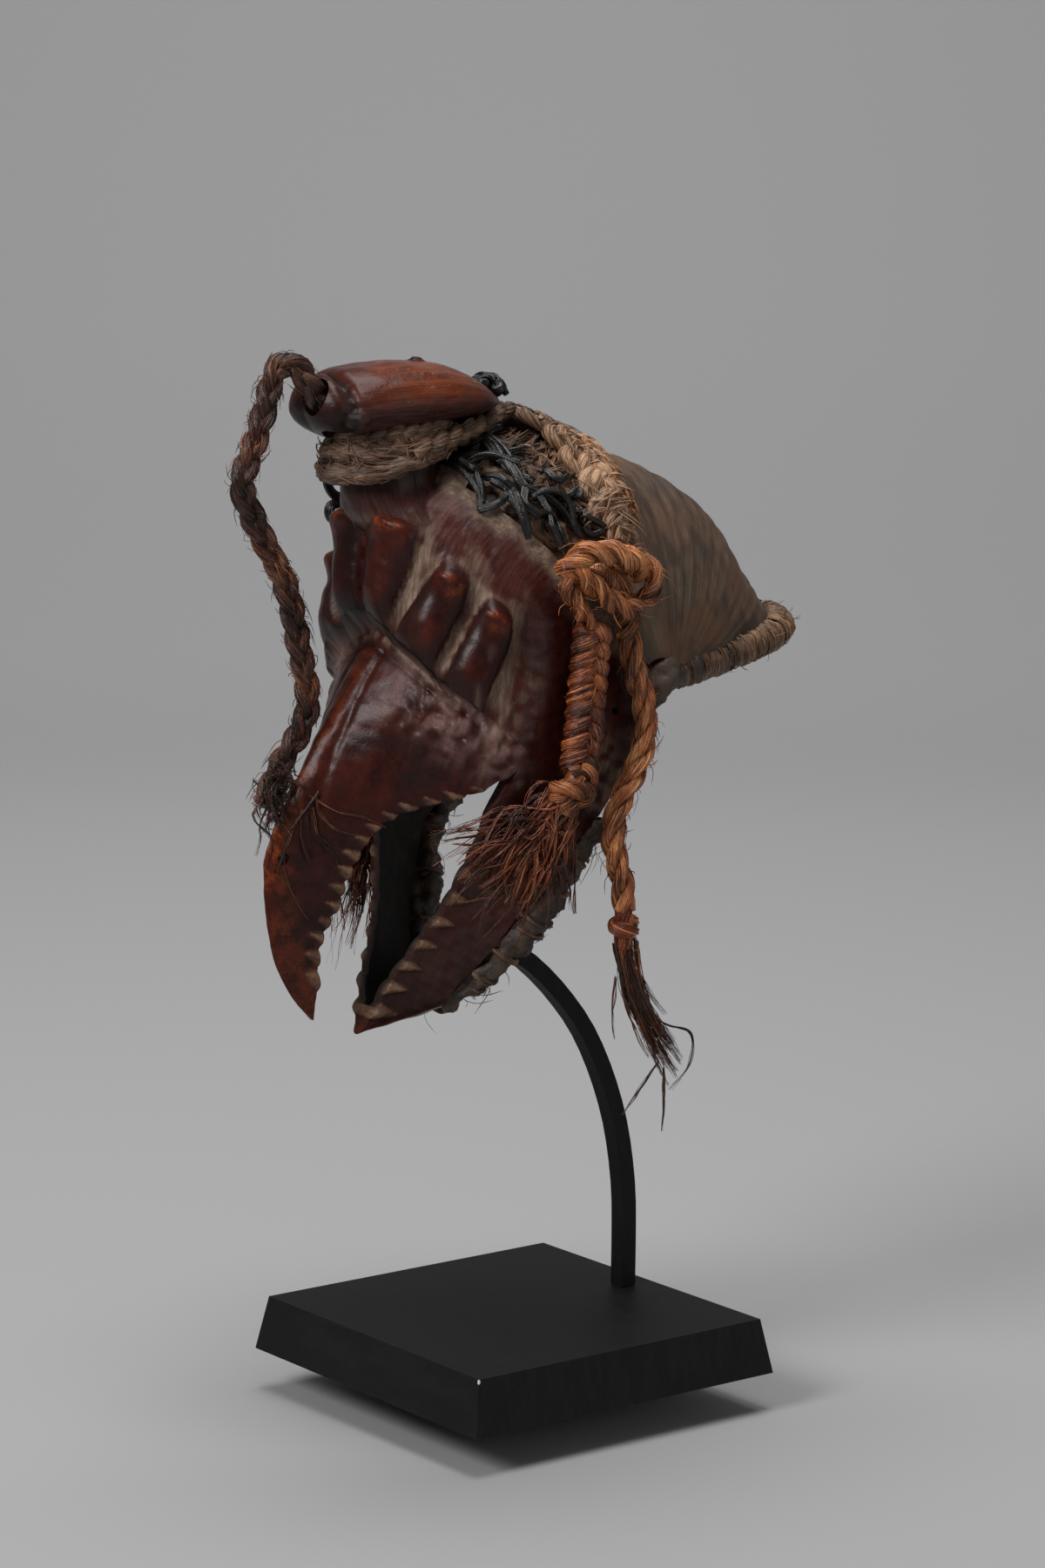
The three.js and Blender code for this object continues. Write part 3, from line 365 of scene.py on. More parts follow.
def fibre_tree():
    """Lays fibres round each path and round a core; a path's radius is its bundle's radius."""
    tree = bpy.data.node_groups.new("fibre bundle", "GeometryNodeTree")
    face = tree.interface
    face.new_socket("Geometry", in_out="INPUT", socket_type="NodeSocketGeometry")
    for name, kind, value in (
            ("Fibres", "NodeSocketInt", 12), ("Turns", "NodeSocketFloat", 20.0),
            ("Fibre radius", "NodeSocketFloat", 0.0005), ("Inner share", "NodeSocketFloat", 0.8),
            ("Wobble", "NodeSocketFloat", 0.0004), ("Wobble scale", "NodeSocketFloat", 60.0),
            ("Core share", "NodeSocketFloat", 0.85), ("Core", "NodeSocketBool", True),
            ("Thin ends", "NodeSocketFloat", 0.3), ("Sides", "NodeSocketInt", 3),
            ("Seed", "NodeSocketInt", 1), ("Material", "NodeSocketMaterial", None)):
        socket = face.new_socket(name, in_out="INPUT", socket_type=kind)
        if value is not None:
            socket.default_value = value
    face.new_socket("Geometry", in_out="OUTPUT", socket_type="NodeSocketGeometry")
    g = Graph(tree)
    source = g.add("NodeGroupInput").outputs
    copies = g.shape("DuplicateElements", {"Geometry": source["Geometry"], "Amount": source["Fibres"]},
                   domain="SPLINE")
    number = g.shape("FieldOnDomain", {"Value": g.shape("InputIndex")}, data_type="INT",
                   domain="CURVE")
    chance = []
    for k in range(3):
        seed = g.plus(source["Seed"], k * 17.0)
        node = g.add("FunctionNodeRandomValue", {"ID": number, "Seed": seed}, data_type="FLOAT")
        chance.append(next(s for s in node.outputs if s.enabled))
    parameter = g.shape("SplineParameter").outputs
    radius = g.shape("InputRadius")
    whole = 2 * math.pi
    wound = g.times(parameter["Length"], source["Turns"])
    angle = g.scaled(wound, whole, g.times(chance[0], whole))
    share = g.scaled(chance[1], g.math("SUBTRACT", 1.0, source["Inner share"]), source["Inner share"])
    distance = g.times(radius, share)
    normal = g.shape("InputNormal").outputs[0]
    across = g.vector("CROSS_PRODUCT", g.shape("InputTangent"), normal)
    offset = g.vector("ADD", g.vector("SCALE", normal, g.times(distance, g.math("COSINE", angle))),
                      g.vector("SCALE", across, g.times(distance, g.math("SINE", angle))))
    place = g.vector("ADD", g.shape("InputPosition"),
                     g.vector("SCALE", (0.71, 0.43, 0.91), g.times(chance[2], 5.0)))
    waves = g.add("ShaderNodeTexNoise", {"Vector": place, "Scale": source["Wobble scale"], "Detail": 1.0})
    wobble = g.vector("SCALE", g.vector("SUBTRACT", waves.outputs["Color"], (0.5, 0.5, 0.5)),
                      g.times(source["Wobble"], 4.0))
    moved = g.shape("SetPosition", {"Geometry": copies, "Offset": g.vector("ADD", offset, wobble)})
    ends = g.span(g.math("SUBTRACT", 1.0, parameter["Factor"]), 0.0, source["Thin ends"], 0.3, 1.0)
    own = g.scaled(chance[2], 0.7, 0.65)
    thick = g.times(source["Fibre radius"], g.times(own, ends))
    sized = g.shape("SetCurveRadius", {"Curve": moved, "Radius": thick})
    shaded = g.stored(sized, "shade", chance[0])
    profile = g.shape("CurvePrimitiveCircle", {"Resolution": source["Sides"], "Radius": 1.0})
    swept = g.shape("CurveToMesh",
                  {"Curve": shaded, "Profile Curve": profile, "Fill Caps": True, "Scale": radius})
    core_line = g.shape("SetCurveRadius",
                      {"Curve": source["Geometry"], "Radius": g.times(radius, source["Core share"])})
    kept = {"shade": -1.0, "twist": g.times(wound, whole), "run": parameter["Length"], "thick": radius}
    for key, value in kept.items():
        core_line = g.stored(core_line, key, value)
    core_ring = g.shape("CurvePrimitiveCircle", {"Resolution": CORE_SIDES, "Radius": 1.0})
    core_ring = g.stored(core_ring, "ring", g.shape("InputPosition"), "FLOAT_VECTOR")
    core = g.shape("CurveToMesh",
                 {"Curve": core_line, "Profile Curve": core_ring, "Fill Caps": True, "Scale": radius})
    ring = g.shape("InputNamedAttribute", {"Name": "ring"}, data_type="FLOAT_VECTOR")
    twist, run, thick_here = (g.shape("InputNamedAttribute", {"Name": key}, data_type="FLOAT")
                              for key in ("twist", "run", "thick"))
    turned = g.add("ShaderNodeVectorRotate", {"Vector": ring, "Angle": g.times(twist, -1.0)},
                   rotation_type="Z_AXIS")
    lengthwise = g.add("ShaderNodeCombineXYZ", {"Z": g.times(run, ALONG_SHARE)})
    flow = g.vector("ADD", g.vector("SCALE", turned, thick_here), lengthwise)
    core = g.stored(core, "flow", flow, "FLOAT_VECTOR")
    chosen = g.shape("Switch", {"Switch": source["Core"], "True": core}, input_type="GEOMETRY")
    both = g.shape("JoinGeometry")
    for part in (chosen, swept):
        g.feed(both.inputs[0], part)
    soft = g.shape("SetShadeSmooth", {"Geometry": both})
    real = g.shape("RealizeInstances", {"Geometry": soft})
    dressed = g.shape("SetMaterial", {"Geometry": real, "Material": source["Material"]})
    g.feed(g.add("NodeGroupOutput").inputs[0], dressed)
    return tree


FIBRE_TREE = fibre_tree()


def fibres(name, paths, look, **values):
    """A mesh of fibre bundles: each path is (points, radii), and the values are the tree's inputs."""
    data = bpy.data.curves.new(name + " paths", "CURVE")
    data.dimensions = "3D"
    for points, radii in paths:
        spline = data.splines.new("POLY")
        spline.points.add(len(points) - 1)
        spline.points.foreach_set("co", np.hstack([points * MM, np.ones((len(points), 1))]).ravel())
        spline.points.foreach_set("radius",
                                  np.broadcast_to(np.asarray(radii, float) * MM, len(points)).copy())
    piece = bpy.data.objects.new(name + " paths", data)
    scene.collection.objects.link(piece)
    modifier = piece.modifiers.new("fibres", "NODES")
    modifier.node_group = FIBRE_TREE
    values = {"Material": look, **{key.replace("_", " "): value for key, value in values.items()}}
    for item in FIBRE_TREE.interface.items_tree:
        if item.in_out == "INPUT" and item.name in values:
            value = values[item.name]
            in_millimetres = item.name in ("Fibre radius", "Wobble")
            modifier[item.identifier] = value * MM if in_millimetres else value
    return evaluated(piece, name)


def single_hairs(name, paths, look, seed, wobble):
    """One thin fibre on each path."""
    return fibres(name, paths, look, Fibres=1, Turns=0.0, Core=False, Seed=seed, Fibre_radius=0.2,
                  Wobble=wobble, Inner_share=0.0)


# Shared shader groups
def mask_group(name, inputs, outputs, build):
    """A node group whose named inputs and outputs are made here; build wires it."""
    tree = bpy.data.node_groups.new(name, "ShaderNodeTree")
    for key, kind, value in inputs:
        socket = tree.interface.new_socket(key, in_out="INPUT", socket_type=kind)
        if value is not None:
            socket.default_value = value
    for key, kind in outputs:
        tree.interface.new_socket(key, in_out="OUTPUT", socket_type=kind)
    g = Graph(tree)
    result = g.add("NodeGroupOutput")
    build(g, g.add("NodeGroupInput").outputs, result)
    return tree


def strand_colour(g, source, result):
    """Fibre colour: a ramp over each fibre's own chance, or over fine streaks on a strand's core, with
    painted shade in the gaps between the streaks.
    """
    place = g.place()
    flow = g.flow()
    own = g.attribute("shade")
    core = g.span(own, -0.6, -0.2, 1.0, 0.0)
    streak = g.noise(flow, 1500.0, 2.0, 0.6)
    on_core = g.span(streak, 0.36, 0.64)
    own = g.plus(g.times(core, on_core), g.times(g.math("SUBTRACT", 1.0, core), own))
    patch = g.noise(place, source["Patch scale"], 3.0)
    fine = g.noise(place, 900.0, 2.0)
    value = g.plus(g.times(own, 0.62), g.times(g.math("SUBTRACT", patch, 0.5), 1.3))
    value = g.plus(value, g.times(g.math("SUBTRACT", fine, 0.5), 0.35))
    lower = g.mix(g.span(value, 0.0, 0.4), source["Dark"], source["Middle"])
    upper = g.mix(g.span(value, 0.42, 0.85), lower, source["Light"])
    dust = g.times(g.span(g.noise(place, source["Dust scale"], 4.0, 0.65), 0.42, 0.66), source["Dust"])
    dusty = g.mix(dust, upper, source["Dust colour"])
    # painted shade: the gaps between a core's streaks are drawn near black
    gap_shade = g.times(core, g.span(streak, 0.30, 0.46, 0.85, 0.0))
    dark = g.mix(gap_shade, dusty, (0.010, 0.006, 0.004))
    g.feed(result.inputs["Color"], dark)
    g.feed(result.inputs["Roughness"], g.plus(source["Shine"], g.times(dust, 0.3)))
    g.feed(result.inputs["Height"], g.plus(g.times(core, streak),
                                           g.times(g.noise(place, 1400.0, 2.0), 0.3)))


COLOUR, NUMBER = "NodeSocketColor", "NodeSocketFloat"
STRAND_COLOUR = mask_group("strand colour",
                           [("Dark", COLOUR, None), ("Middle", COLOUR, None), ("Light", COLOUR, None),
                            ("Dust colour", COLOUR, None), ("Dust", NUMBER, 0.4),
                            ("Patch scale", NUMBER, 35.0), ("Dust scale", NUMBER, 45.0),
                            ("Shine", NUMBER, 0.45)],
                           [("Color", COLOUR), ("Roughness", NUMBER), ("Height", NUMBER)], strand_colour)


def speckle(g, source, result):
    """Two sizes of noise as one height and one mask, for grain, dust and wear."""
    place = g.vector("MULTIPLY", source["Vector"], source["Stretch"])
    coarse = g.noise(place, source["Scale"], 4.0, 0.6)
    fine = g.noise(place, g.times(source["Scale"], 5.3), 3.0, 0.6)
    both = g.plus(g.times(coarse, 0.65), g.times(fine, 0.35))
    g.feed(result.inputs["Height"], both)
    g.feed(result.inputs["Mask"], g.span(both, source["Low"], source["High"]))


SPECKLE = mask_group("speckle",
                     [("Vector", "NodeSocketVector", None),
                      ("Stretch", "NodeSocketVector", (1.0, 1.0, 1.0)), ("Scale", NUMBER, 40.0),
                      ("Low", NUMBER, 0.4), ("High", NUMBER, 0.6)], [("Height", NUMBER), ("Mask", NUMBER)],
                     speckle)


def group(g, tree, **values):
    """One use of a shared effect, with its sockets set."""
    node = g.add("ShaderNodeGroup", node_tree=tree)
    for key, value in values.items():
        g.feed(node.inputs[key.replace("_", " ")], value)
    return node.outputs


def new_look(name):
    """A material with its nodes and its one surface."""
    look = bpy.data.materials.new(name)
    look.use_nodes = True
    g = Graph(look.node_tree)
    return look, g, look.node_tree.nodes["Principled BSDF"].inputs


def bump(g, height, strength, distance):
    """Surface normals raised by a height."""
    return g.add("ShaderNodeBump",
                 {"Height": height, "Strength": strength, "Distance": distance}).outputs[0]


def fibre_look(name, dark, middle, light, dust_colour, dust=0.4, patch=35.0, dust_scale=45.0, shine=0.42):
    """One of the fibre colours."""
    look, g, skin = new_look(name)
    colours = {k: (*v, 1) for k, v in
               {"Dark": dark, "Middle": middle, "Light": light, "Dust_colour": dust_colour}.items()}
    out = group(g, STRAND_COLOUR, Dust=dust, Patch_scale=patch, Dust_scale=dust_scale, Shine=shine,
                **colours)
    g.feed(skin["Base Color"], out["Color"])
    g.feed(skin["Roughness"], out["Roughness"])
    g.feed(skin["Normal"], bump(g, out["Height"], 0.9, 0.0009))
    skin["Specular IOR Level"].default_value = 0.45
    return look


TAN_DUST = (0.26, 0.185, 0.125)
RAFFIA = fibre_look("russet raffia", (0.060, 0.015, 0.005), (0.42, 0.130, 0.040), (0.86, 0.43, 0.17),
                    TAN_DUST, dust=0.12, shine=0.34)
DARK_RAFFIA = fibre_look("dark raffia", (0.012, 0.004, 0.0025), (0.060, 0.017, 0.008), (0.33, 0.105, 0.038),
                         TAN_DUST, dust=0.1, shine=0.32)
RUST_RAFFIA = fibre_look("rust raffia", (0.024, 0.005, 0.0025), (0.18, 0.038, 0.012), (0.64, 0.21, 0.065),
                         TAN_DUST, dust=0.12, shine=0.34)
DUSTY_PLAIT = fibre_look("dusty plait", (0.07, 0.033, 0.017), (0.33, 0.18, 0.098), (0.58, 0.35, 0.20),
                         (0.30, 0.20, 0.14), dust=0.5, patch=26.0, dust_scale=60.0, shine=0.6)
BROWN_PLAIT = fibre_look("brown plait", (0.035, 0.017, 0.009), (0.13, 0.066, 0.037), (0.30, 0.17, 0.10),
                         (0.26, 0.175, 0.125), dust=0.4, patch=40.0, shine=0.5)
RUSTY_PLAIT = fibre_look("rusty plait", (0.07, 0.024, 0.009), (0.34, 0.135, 0.044), (0.58, 0.29, 0.11),
                         (0.30, 0.18, 0.11), dust=0.3, patch=30.0, shine=0.5)
RIM_WRAP = fibre_look("rim wrapping", (0.030, 0.014, 0.007), (0.15, 0.074, 0.036), (0.40, 0.22, 0.11),
                      TAN_DUST, dust=0.35, patch=30.0, shine=0.5)
VINE = fibre_look("dark vine", (0.0022, 0.0021, 0.0022), (0.0050, 0.0046, 0.0044), (0.015, 0.013, 0.012),
                  (0.05, 0.036, 0.026), dust=0.06, patch=60.0, dust_scale=260.0, shine=0.26)


WOOD_MASKS = ("dust", "worn", "bloom_and_sheen", "border", "dark", "tooth", "hollow", "beak", "crest")


def wood_look():
    """Oiled and dusty carved wood. Masks painted on the mesh say where each finish lies, and where sheen
    and shade are painted into its colour.
    """
    look, g, skin = new_look("carved wood")
    place = g.place()
    flow = g.flow()
    masks = {k: g.attribute(k) for k in WOOD_MASKS}
    broad = group(g, SPECKLE, Vector=place, Scale=22.0, Low=0.40, High=0.62)
    mottle = group(g, SPECKLE, Vector=place, Scale=110.0, Low=0.42, High=0.6)
    hair = group(g, SPECKLE, Vector=flow, Stretch=(1.0, 0.16, 1.0), Scale=420.0, Low=0.42, High=0.62)
    grain = group(g, SPECKLE, Vector=flow, Stretch=(1.0, 0.07, 1.0), Scale=160.0, Low=0.4, High=0.66)
    colour = g.mix(broad["Mask"], (0.022, 0.0040, 0.0030), (0.052, 0.0078, 0.0044))
    colour = g.mix(g.times(mottle["Mask"], 0.34), colour, (0.078, 0.016, 0.009))
    colour = g.mix(g.times(grain["Mask"], 0.42), colour, (0.012, 0.0045, 0.004))
    streaked = g.times(masks["crest"], g.span(grain["Height"], 0.42, 0.6, 0.15, 0.8))
    casque = g.mix(streaked, colour, (0.16, 0.040, 0.014))
    specks = group(g, SPECKLE, Vector=flow, Stretch=(1.0, 0.3, 1.0), Scale=260.0, Low=0.60, High=0.66)
    casque = g.mix(g.times(specks["Mask"], g.times(masks["crest"], 0.75)), casque,
                   (0.42, 0.30, 0.22))
    # bloom: grey-red bloom on the forehead, and painted sheen over the dents of the beak
    bloom_and_sheen_share = g.times(masks["bloom_and_sheen"], g.scaled(hair["Mask"], 0.72, 0.10))
    colour = g.mix(bloom_and_sheen_share, casque, (0.135, 0.070, 0.062))
    # dark: darker tone, and painted shade in the grooves, under the lip and on the far side
    dark_and_shade_share = g.times(masks["dark"], 0.92)
    colour = g.mix(dark_and_shade_share, colour, (0.010, 0.0075, 0.007))
    # painted sheen: a pale pink over the crumpled dents of the beak stands in for their highlights
    crumple = group(g, SPECKLE, Vector=place, Scale=150.0, Low=0.4, High=0.6)
    dented = g.times(masks["beak"], masks["bloom_and_sheen"])
    dent_sheen_share = g.times(dented, g.scaled(crumple["Mask"], 0.26, 0.24))
    colour = g.mix(dent_sheen_share, colour, (0.25, 0.145, 0.13))
    worn_share = g.times(masks["worn"], g.scaled(mottle["Mask"], 0.75, 0.2))
    colour = g.mix(worn_share, colour, (0.30, 0.058, 0.012))
    colour = g.mix(g.times(masks["tooth"], g.scaled(mottle["Mask"], 0.5, 0.4)), colour,
                   (0.19, 0.105, 0.062))
    dust_share = g.times(masks["dust"], g.scaled(hair["Mask"], 0.55, 0.45))
    colour = g.mix(dust_share, colour, (0.25, 0.175, 0.125))
    edge = group(g, SPECKLE, Vector=place, Scale=70.0, Low=0.36, High=0.6)
    colour = g.mix(g.times(masks["border"], g.scaled(edge["Mask"], 0.5, 0.5)), colour,
                   g.mix(mottle["Mask"], (0.11, 0.075, 0.054), (0.26, 0.185, 0.13)))
    # painted shade: the cut faces and the inside of the hollow are drawn near black
    inner = g.mix(mottle["Mask"], (0.012, 0.0095, 0.008), (0.03, 0.023, 0.018))
    colour = g.mix(masks["hollow"], colour, inner)
    g.feed(skin["Base Color"], colour)
    matt = g.math("MAXIMUM", g.math("MAXIMUM", g.times(bloom_and_sheen_share, 0.7), dust_share),
                  g.math("MAXIMUM", masks["border"], g.times(masks["hollow"], 0.8)))
    rough = g.plus(g.scaled(matt, 0.36, 0.22), g.times(mottle["Height"], 0.18))
    g.feed(skin["Roughness"], rough)
    height = g.plus(g.times(hair["Height"], g.scaled(masks["bloom_and_sheen"], 0.8, 0.25)),
                    g.times(mottle["Height"], 0.8))
    height = g.plus(height, g.times(crumple["Height"], g.times(dented, 1.5)))
    g.feed(skin["Normal"], bump(g, height, 0.5, 0.0009))
    skin["Specular IOR Level"].default_value = 0.18
    return look


def hood_look():
    """Stiff woven fibre under old dust, with darker streaks down the ribs and painted shade under the
    lacing.
    """
    look, g, skin = new_look("woven hood")
    place = g.place()
    flow = g.flow()
    streak = group(g, SPECKLE, Vector=flow, Stretch=(1.0, 0.10, 1.0), Scale=150.0, Low=0.40, High=0.60)
    fine = group(g, SPECKLE, Vector=flow, Stretch=(1.0, 0.22, 1.0), Scale=700.0, Low=0.4, High=0.62)
    patch = group(g, SPECKLE, Vector=place, Scale=26.0, Low=0.4, High=0.6)
    colour = g.mix(streak["Mask"], (0.036, 0.022, 0.014), (0.112, 0.072, 0.045))
    colour = g.mix(g.times(patch["Mask"], 0.62), colour, (0.135, 0.052, 0.020))
    stain = group(g, SPECKLE, Vector=place, Stretch=(1.0, 1.0, 0.45), Scale=75.0, Low=0.44, High=0.62)
    colour = g.mix(g.times(stain["Mask"], 0.5), colour, (0.030, 0.021, 0.016))
    colour = g.mix(g.times(fine["Mask"], 0.35), colour, (0.165, 0.118, 0.082))
    colour = g.mix(g.times(g.attribute("dust"), g.scaled(patch["Mask"], 0.5, 0.4)), colour,
                   (0.21, 0.145, 0.10))
    colour = g.mix(g.attribute("dark"), colour, (0.022, 0.016, 0.013))
    g.feed(skin["Base Color"], colour)
    g.feed(skin["Roughness"], g.scaled(fine["Height"], 0.3, 0.52))
    height = g.plus(g.times(streak["Height"], 0.8), g.times(fine["Height"], 0.5))
    g.feed(skin["Normal"], bump(g, height, 0.6, 0.0009))
    skin["Specular IOR Level"].default_value = 0.35
    return look


def leather_look():
    """Dark creased hide."""
    look, g, skin = new_look("dark hide")
    place = g.place()
    crease = group(g, SPECKLE, Vector=place, Scale=95.0, Low=0.4, High=0.62)
    patch = group(g, SPECKLE, Vector=place, Scale=34.0, Low=0.44, High=0.62)
    colour = g.mix(crease["Mask"], (0.011, 0.0075, 0.0055), (0.050, 0.030, 0.018))
    colour = g.mix(g.times(patch["Mask"], 0.5), colour, (0.12, 0.068, 0.036))
    g.feed(skin["Base Color"], colour)
    g.feed(skin["Roughness"], g.scaled(crease["Height"], 0.35, 0.42))
    g.feed(skin["Normal"], bump(g, crease["Height"], 0.8, 0.0016))
    return look


def stand_look():
    """Matt black paint with a faint grain, dusty specks and one small chip."""
    look, g, skin = new_look("matt black paint")
    place = g.place()
    grain = group(g, SPECKLE, Vector=place, Stretch=(1.0, 14.0, 3.0), Scale=16.0, Low=0.4, High=0.62)
    specks = group(g, SPECKLE, Vector=place, Scale=900.0, Low=0.66, High=0.74)
    colour = g.mix(grain["Mask"], (0.0062, 0.0063, 0.0067), (0.0100, 0.0100, 0.0106))
    colour = g.mix(g.times(specks["Mask"], 0.5), colour, (0.09, 0.09, 0.09))
    reach = g.vector("DISTANCE", place, (0.0951, -0.0953, 0.0285))
    chip = g.span(reach.outputs["Value"], 0.0011, 0.0016, 1.0, 0.0)
    colour = g.mix(chip, colour, (0.7, 0.7, 0.68))
    g.feed(skin["Base Color"], colour)
    g.feed(skin["Roughness"], g.scaled(grain["Height"], 0.2, 0.48))
    g.feed(skin["Normal"], bump(g, grain["Height"], 0.12, 0.0006))
    skin["Specular IOR Level"].default_value = 0.14
    return look


WOOD = wood_look()
HOOD = hood_look()
LEATHER = leather_look()
STAND = stand_look()


def dress(piece, look):
    """Gives a piece its one material."""
    piece.data.materials.clear()
    piece.data.materials.append(look)
    for polygon in piece.data.polygons:
        polygon.material_index = 0


for name in ("stand_base", "stand_rod"):
    dress(frame["nodes"][name], STAND)


def settle(piece, slot, *nodes):
    """A finished piece rides on the root and hides the solids that it stands for; the slot is not used."""
    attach(piece, "root")
    if nodes:
        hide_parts(*nodes)


# The carving. The head leans forward: down runs towards the beak's tip, forward is square to it.
HEAD_LEAN = math.radians(40.54)
HEAD_CENTRE_Z = 430
WALL = 6
FACE_FRONT = [[-5, 89], [3, 90], [20, 98], [38, 97], [54, 86], [72, 73], [84, 62]]
BEAK_FRONT = [[70, 53], [80, 53], [109, 51], [140, 48], [171, 43], [192, 40], [210, 34],
              [222, 25], [232, 15], [243, 1], [250, -11], [256, -28], [257.5, -38]]
SIDE_WIDTH = [[-5, 70], [60, 70], [95, 69.5], [107, 67], [125, 56], [143, 45], [162, 34], [174, 28],
              [190, 21], [206, 15], [222, 10.5], [236, 6.5], [250, 3.2], [257.5, 1.2]]
SIDE_FORWARD = [[-5, -4], [60, -12], [107, -18], [143, -22], [174, -26], [206, -37], [222, -43],
                [236, -51], [250, -56], [257.5, -44]]
BACK_WIDTH = [[-5, 66], [99, 66], [131, 60], [147, 54], [171, 43], [184, 34], [206, 22],
              [222, 13], [236, 7], [250, 3], [257.5, 1.2]]
BACK_FORWARD = [[-5, -72], [99, -92], [147, -98], [171, -98], [184, -98], [206, -90], [222, -80],
                [236, -72], [250, -66], [257.5, -47]]
KEEL = [[-5, -140], [150, -140], [184, -128], [204, -108], [218, -98], [230, -88.5], [244, -76],
        [250, -70], [257.5, -50]]
ROUNDNESS = [[-5, 2.1], [40, 1.9], [60, 1.75], [109, 1.6], [140, 1.5], [257.5, 1.45]]
FRONT_SHARE = 0.66
SIDE_SHARE = 0.84
CHEVRON_DOWN = 79
CHEVRON_SLOPE = 0.34
CHEVRON_REACH = 46
LEAN_OUT = 61
LIP_HEIGHT = 2
LIP_WIDTH = 5
LOBES = [(38, (21, 10), (20, 11)), (47, (58, 39), (14, 16)), (49, (86, 72), (14, 15))]
LOBE_HEIGHT = 10.5
MOUTH_CORNER = [106, -18]
UPPER_EDGE = [[112, -17.5], [118, -17.5], [129, -13], [142, -5], [156, 2], [171, 3], [190, -3],
              [208, -12], [228, -20], [249, -40], [258, -47]]
LOWER_EDGE = [[112, -20.5], [125, -28], [143, -40], [162, -49], [174, -54], [189, -58], [206, -62],
              [219, -64], [230, -68], [244, -71.5], [258, -73]]
UPPER_TEETH = (120, 246, 15, 6.2)
LOWER_TEETH = (138, 242, 8, 7.6)
TOOTH_RISE = 3.0
TENDON_LINE = [(66, -58.5, 369), (64.5, -64, 356), (66, -56.5, 344), (66, -51, 330)]
TENDON_GROOVE = [(68, -54, 369), (67, -58, 356), (68, -50.5, 344), (68, -46, 330)]
PATCH_LINE = [(24, -132.5, 371), (28, -128.5, 369.5), (33.5, -122.5, 367.5)]
BACK_EDGE = [[3, 79.5], [15.5, -72.5], [20, -74], [35, -75], [61, -79], [91, -80], [104, -78], [122, -75.5],
             [144, -81.5], [161, -85], [184, -91.5], [198, -92], [207, -96], [211, -102]]
HOLLOW_FRONT = [[-8, 80.5], [4, 80.5], [30, 86], [56, 72], [78, 44], [109, 43], [140, 39], [171, 33],
                [192, 24], [206, 8], [222, -14], [232, -40], [238, -56]]


def seat(x, forward, down):
    """Points from the leaning head's own measures."""
    x, forward, down = np.broadcast_arrays(np.asarray(x, float), forward, down)
    y = -math.sin(HEAD_LEAN) * down - math.cos(HEAD_LEAN) * forward
    z = HEAD_CENTRE_Z - math.cos(HEAD_LEAN) * down + math.sin(HEAD_LEAN) * forward
    return np.stack([x, y, z], -1)


def section(down, v, beak, front=0.0, wall=0.0):
    """Half a section of the head, from the front ridge (v = 0) round to the keel (v = 1)."""
    ridge = float(along(BEAK_FRONT if beak else FACE_FRONT, down)) - front
    side = max(float(along(SIDE_WIDTH, down)) - wall, 0.6)
    side_forward = min(float(along(SIDE_FORWARD, down)), ridge - 2)
    back = max(float(along(BACK_WIDTH, down)) - wall, 0.6)
    back_forward = min(float(along(BACK_FORWARD, down)), side_forward - 1)
    keel = min(float(along(KEEL, down)) + wall, back_forward - 1)
    power = 2 / float(along(ROUNDNESS, down))
    a = np.clip(v / FRONT_SHARE, 0, 1) * math.pi / 2
    u = np.clip((v - FRONT_SHARE) / (SIDE_SHARE - FRONT_SHARE), 0, 1)
    b = np.clip((v - SIDE_SHARE) / (1 - SIDE_SHARE), 0, 1) * math.pi / 2
    cos_a = np.maximum(np.cos(a), 0)
    cos_b = np.maximum(np.cos(b), 0)
    x = np.where(v <= FRONT_SHARE, side * np.sin(a) ** power,
                 np.where(v <= SIDE_SHARE, side + (back - side) * smooth(0, 1, u), back * cos_b ** 0.8))
    forward = np.where(v <= FRONT_SHARE, side_forward + (ridge - side_forward) * cos_a ** power,
                       np.where(v <= SIDE_SHARE, side_forward + (back_forward - side_forward) * u,
                                back_forward + (keel - back_forward) * np.sin(b) ** 0.8))
    return x, forward


def chevron_drop(x):
    """How far the crossing lip hangs down at a place across it."""
    return CHEVRON_SLOPE * np.minimum(np.abs(x), CHEVRON_REACH)


def lobe_rise(around, down, drop):
    """How far the finger-like lobes stand out, and how near their own tops a point is."""
    rise = np.zeros_like(around)
    tip = np.zeros_like(around)
    for top, middle, half in LOBES:
        u = (down - top) / (CHEVRON_DOWN + drop - top)
        share = np.maximum(u, 0)
        across = np.abs(around - (middle[0] + (middle[1] - middle[0]) * share))
        across = across / ((half[0] + (half[1] - half[0]) * share) * (0.66 + 0.24 * smooth(-0.15, 0.3, u)))
        height = (LOBE_HEIGHT * smooth(-0.22, 0.14, u) * (1 - 0.15 * share)
                  * (1 - 0.62 * smooth(0.72, 1.05, share)))
        own = height * np.maximum(0, 1 - across**2) ** 0.62
        knuckle = 1 + 0.22 * np.exp(-((u - 0.1) / 0.09) ** 2) - 0.14 * np.exp(-((u - 0.34) / 0.12) ** 2)
        own = own * knuckle
        tip = np.where(own > rise, smooth(0.42, 0.0, u), tip)
        rise = np.maximum(rise, own)
    return rise, tip


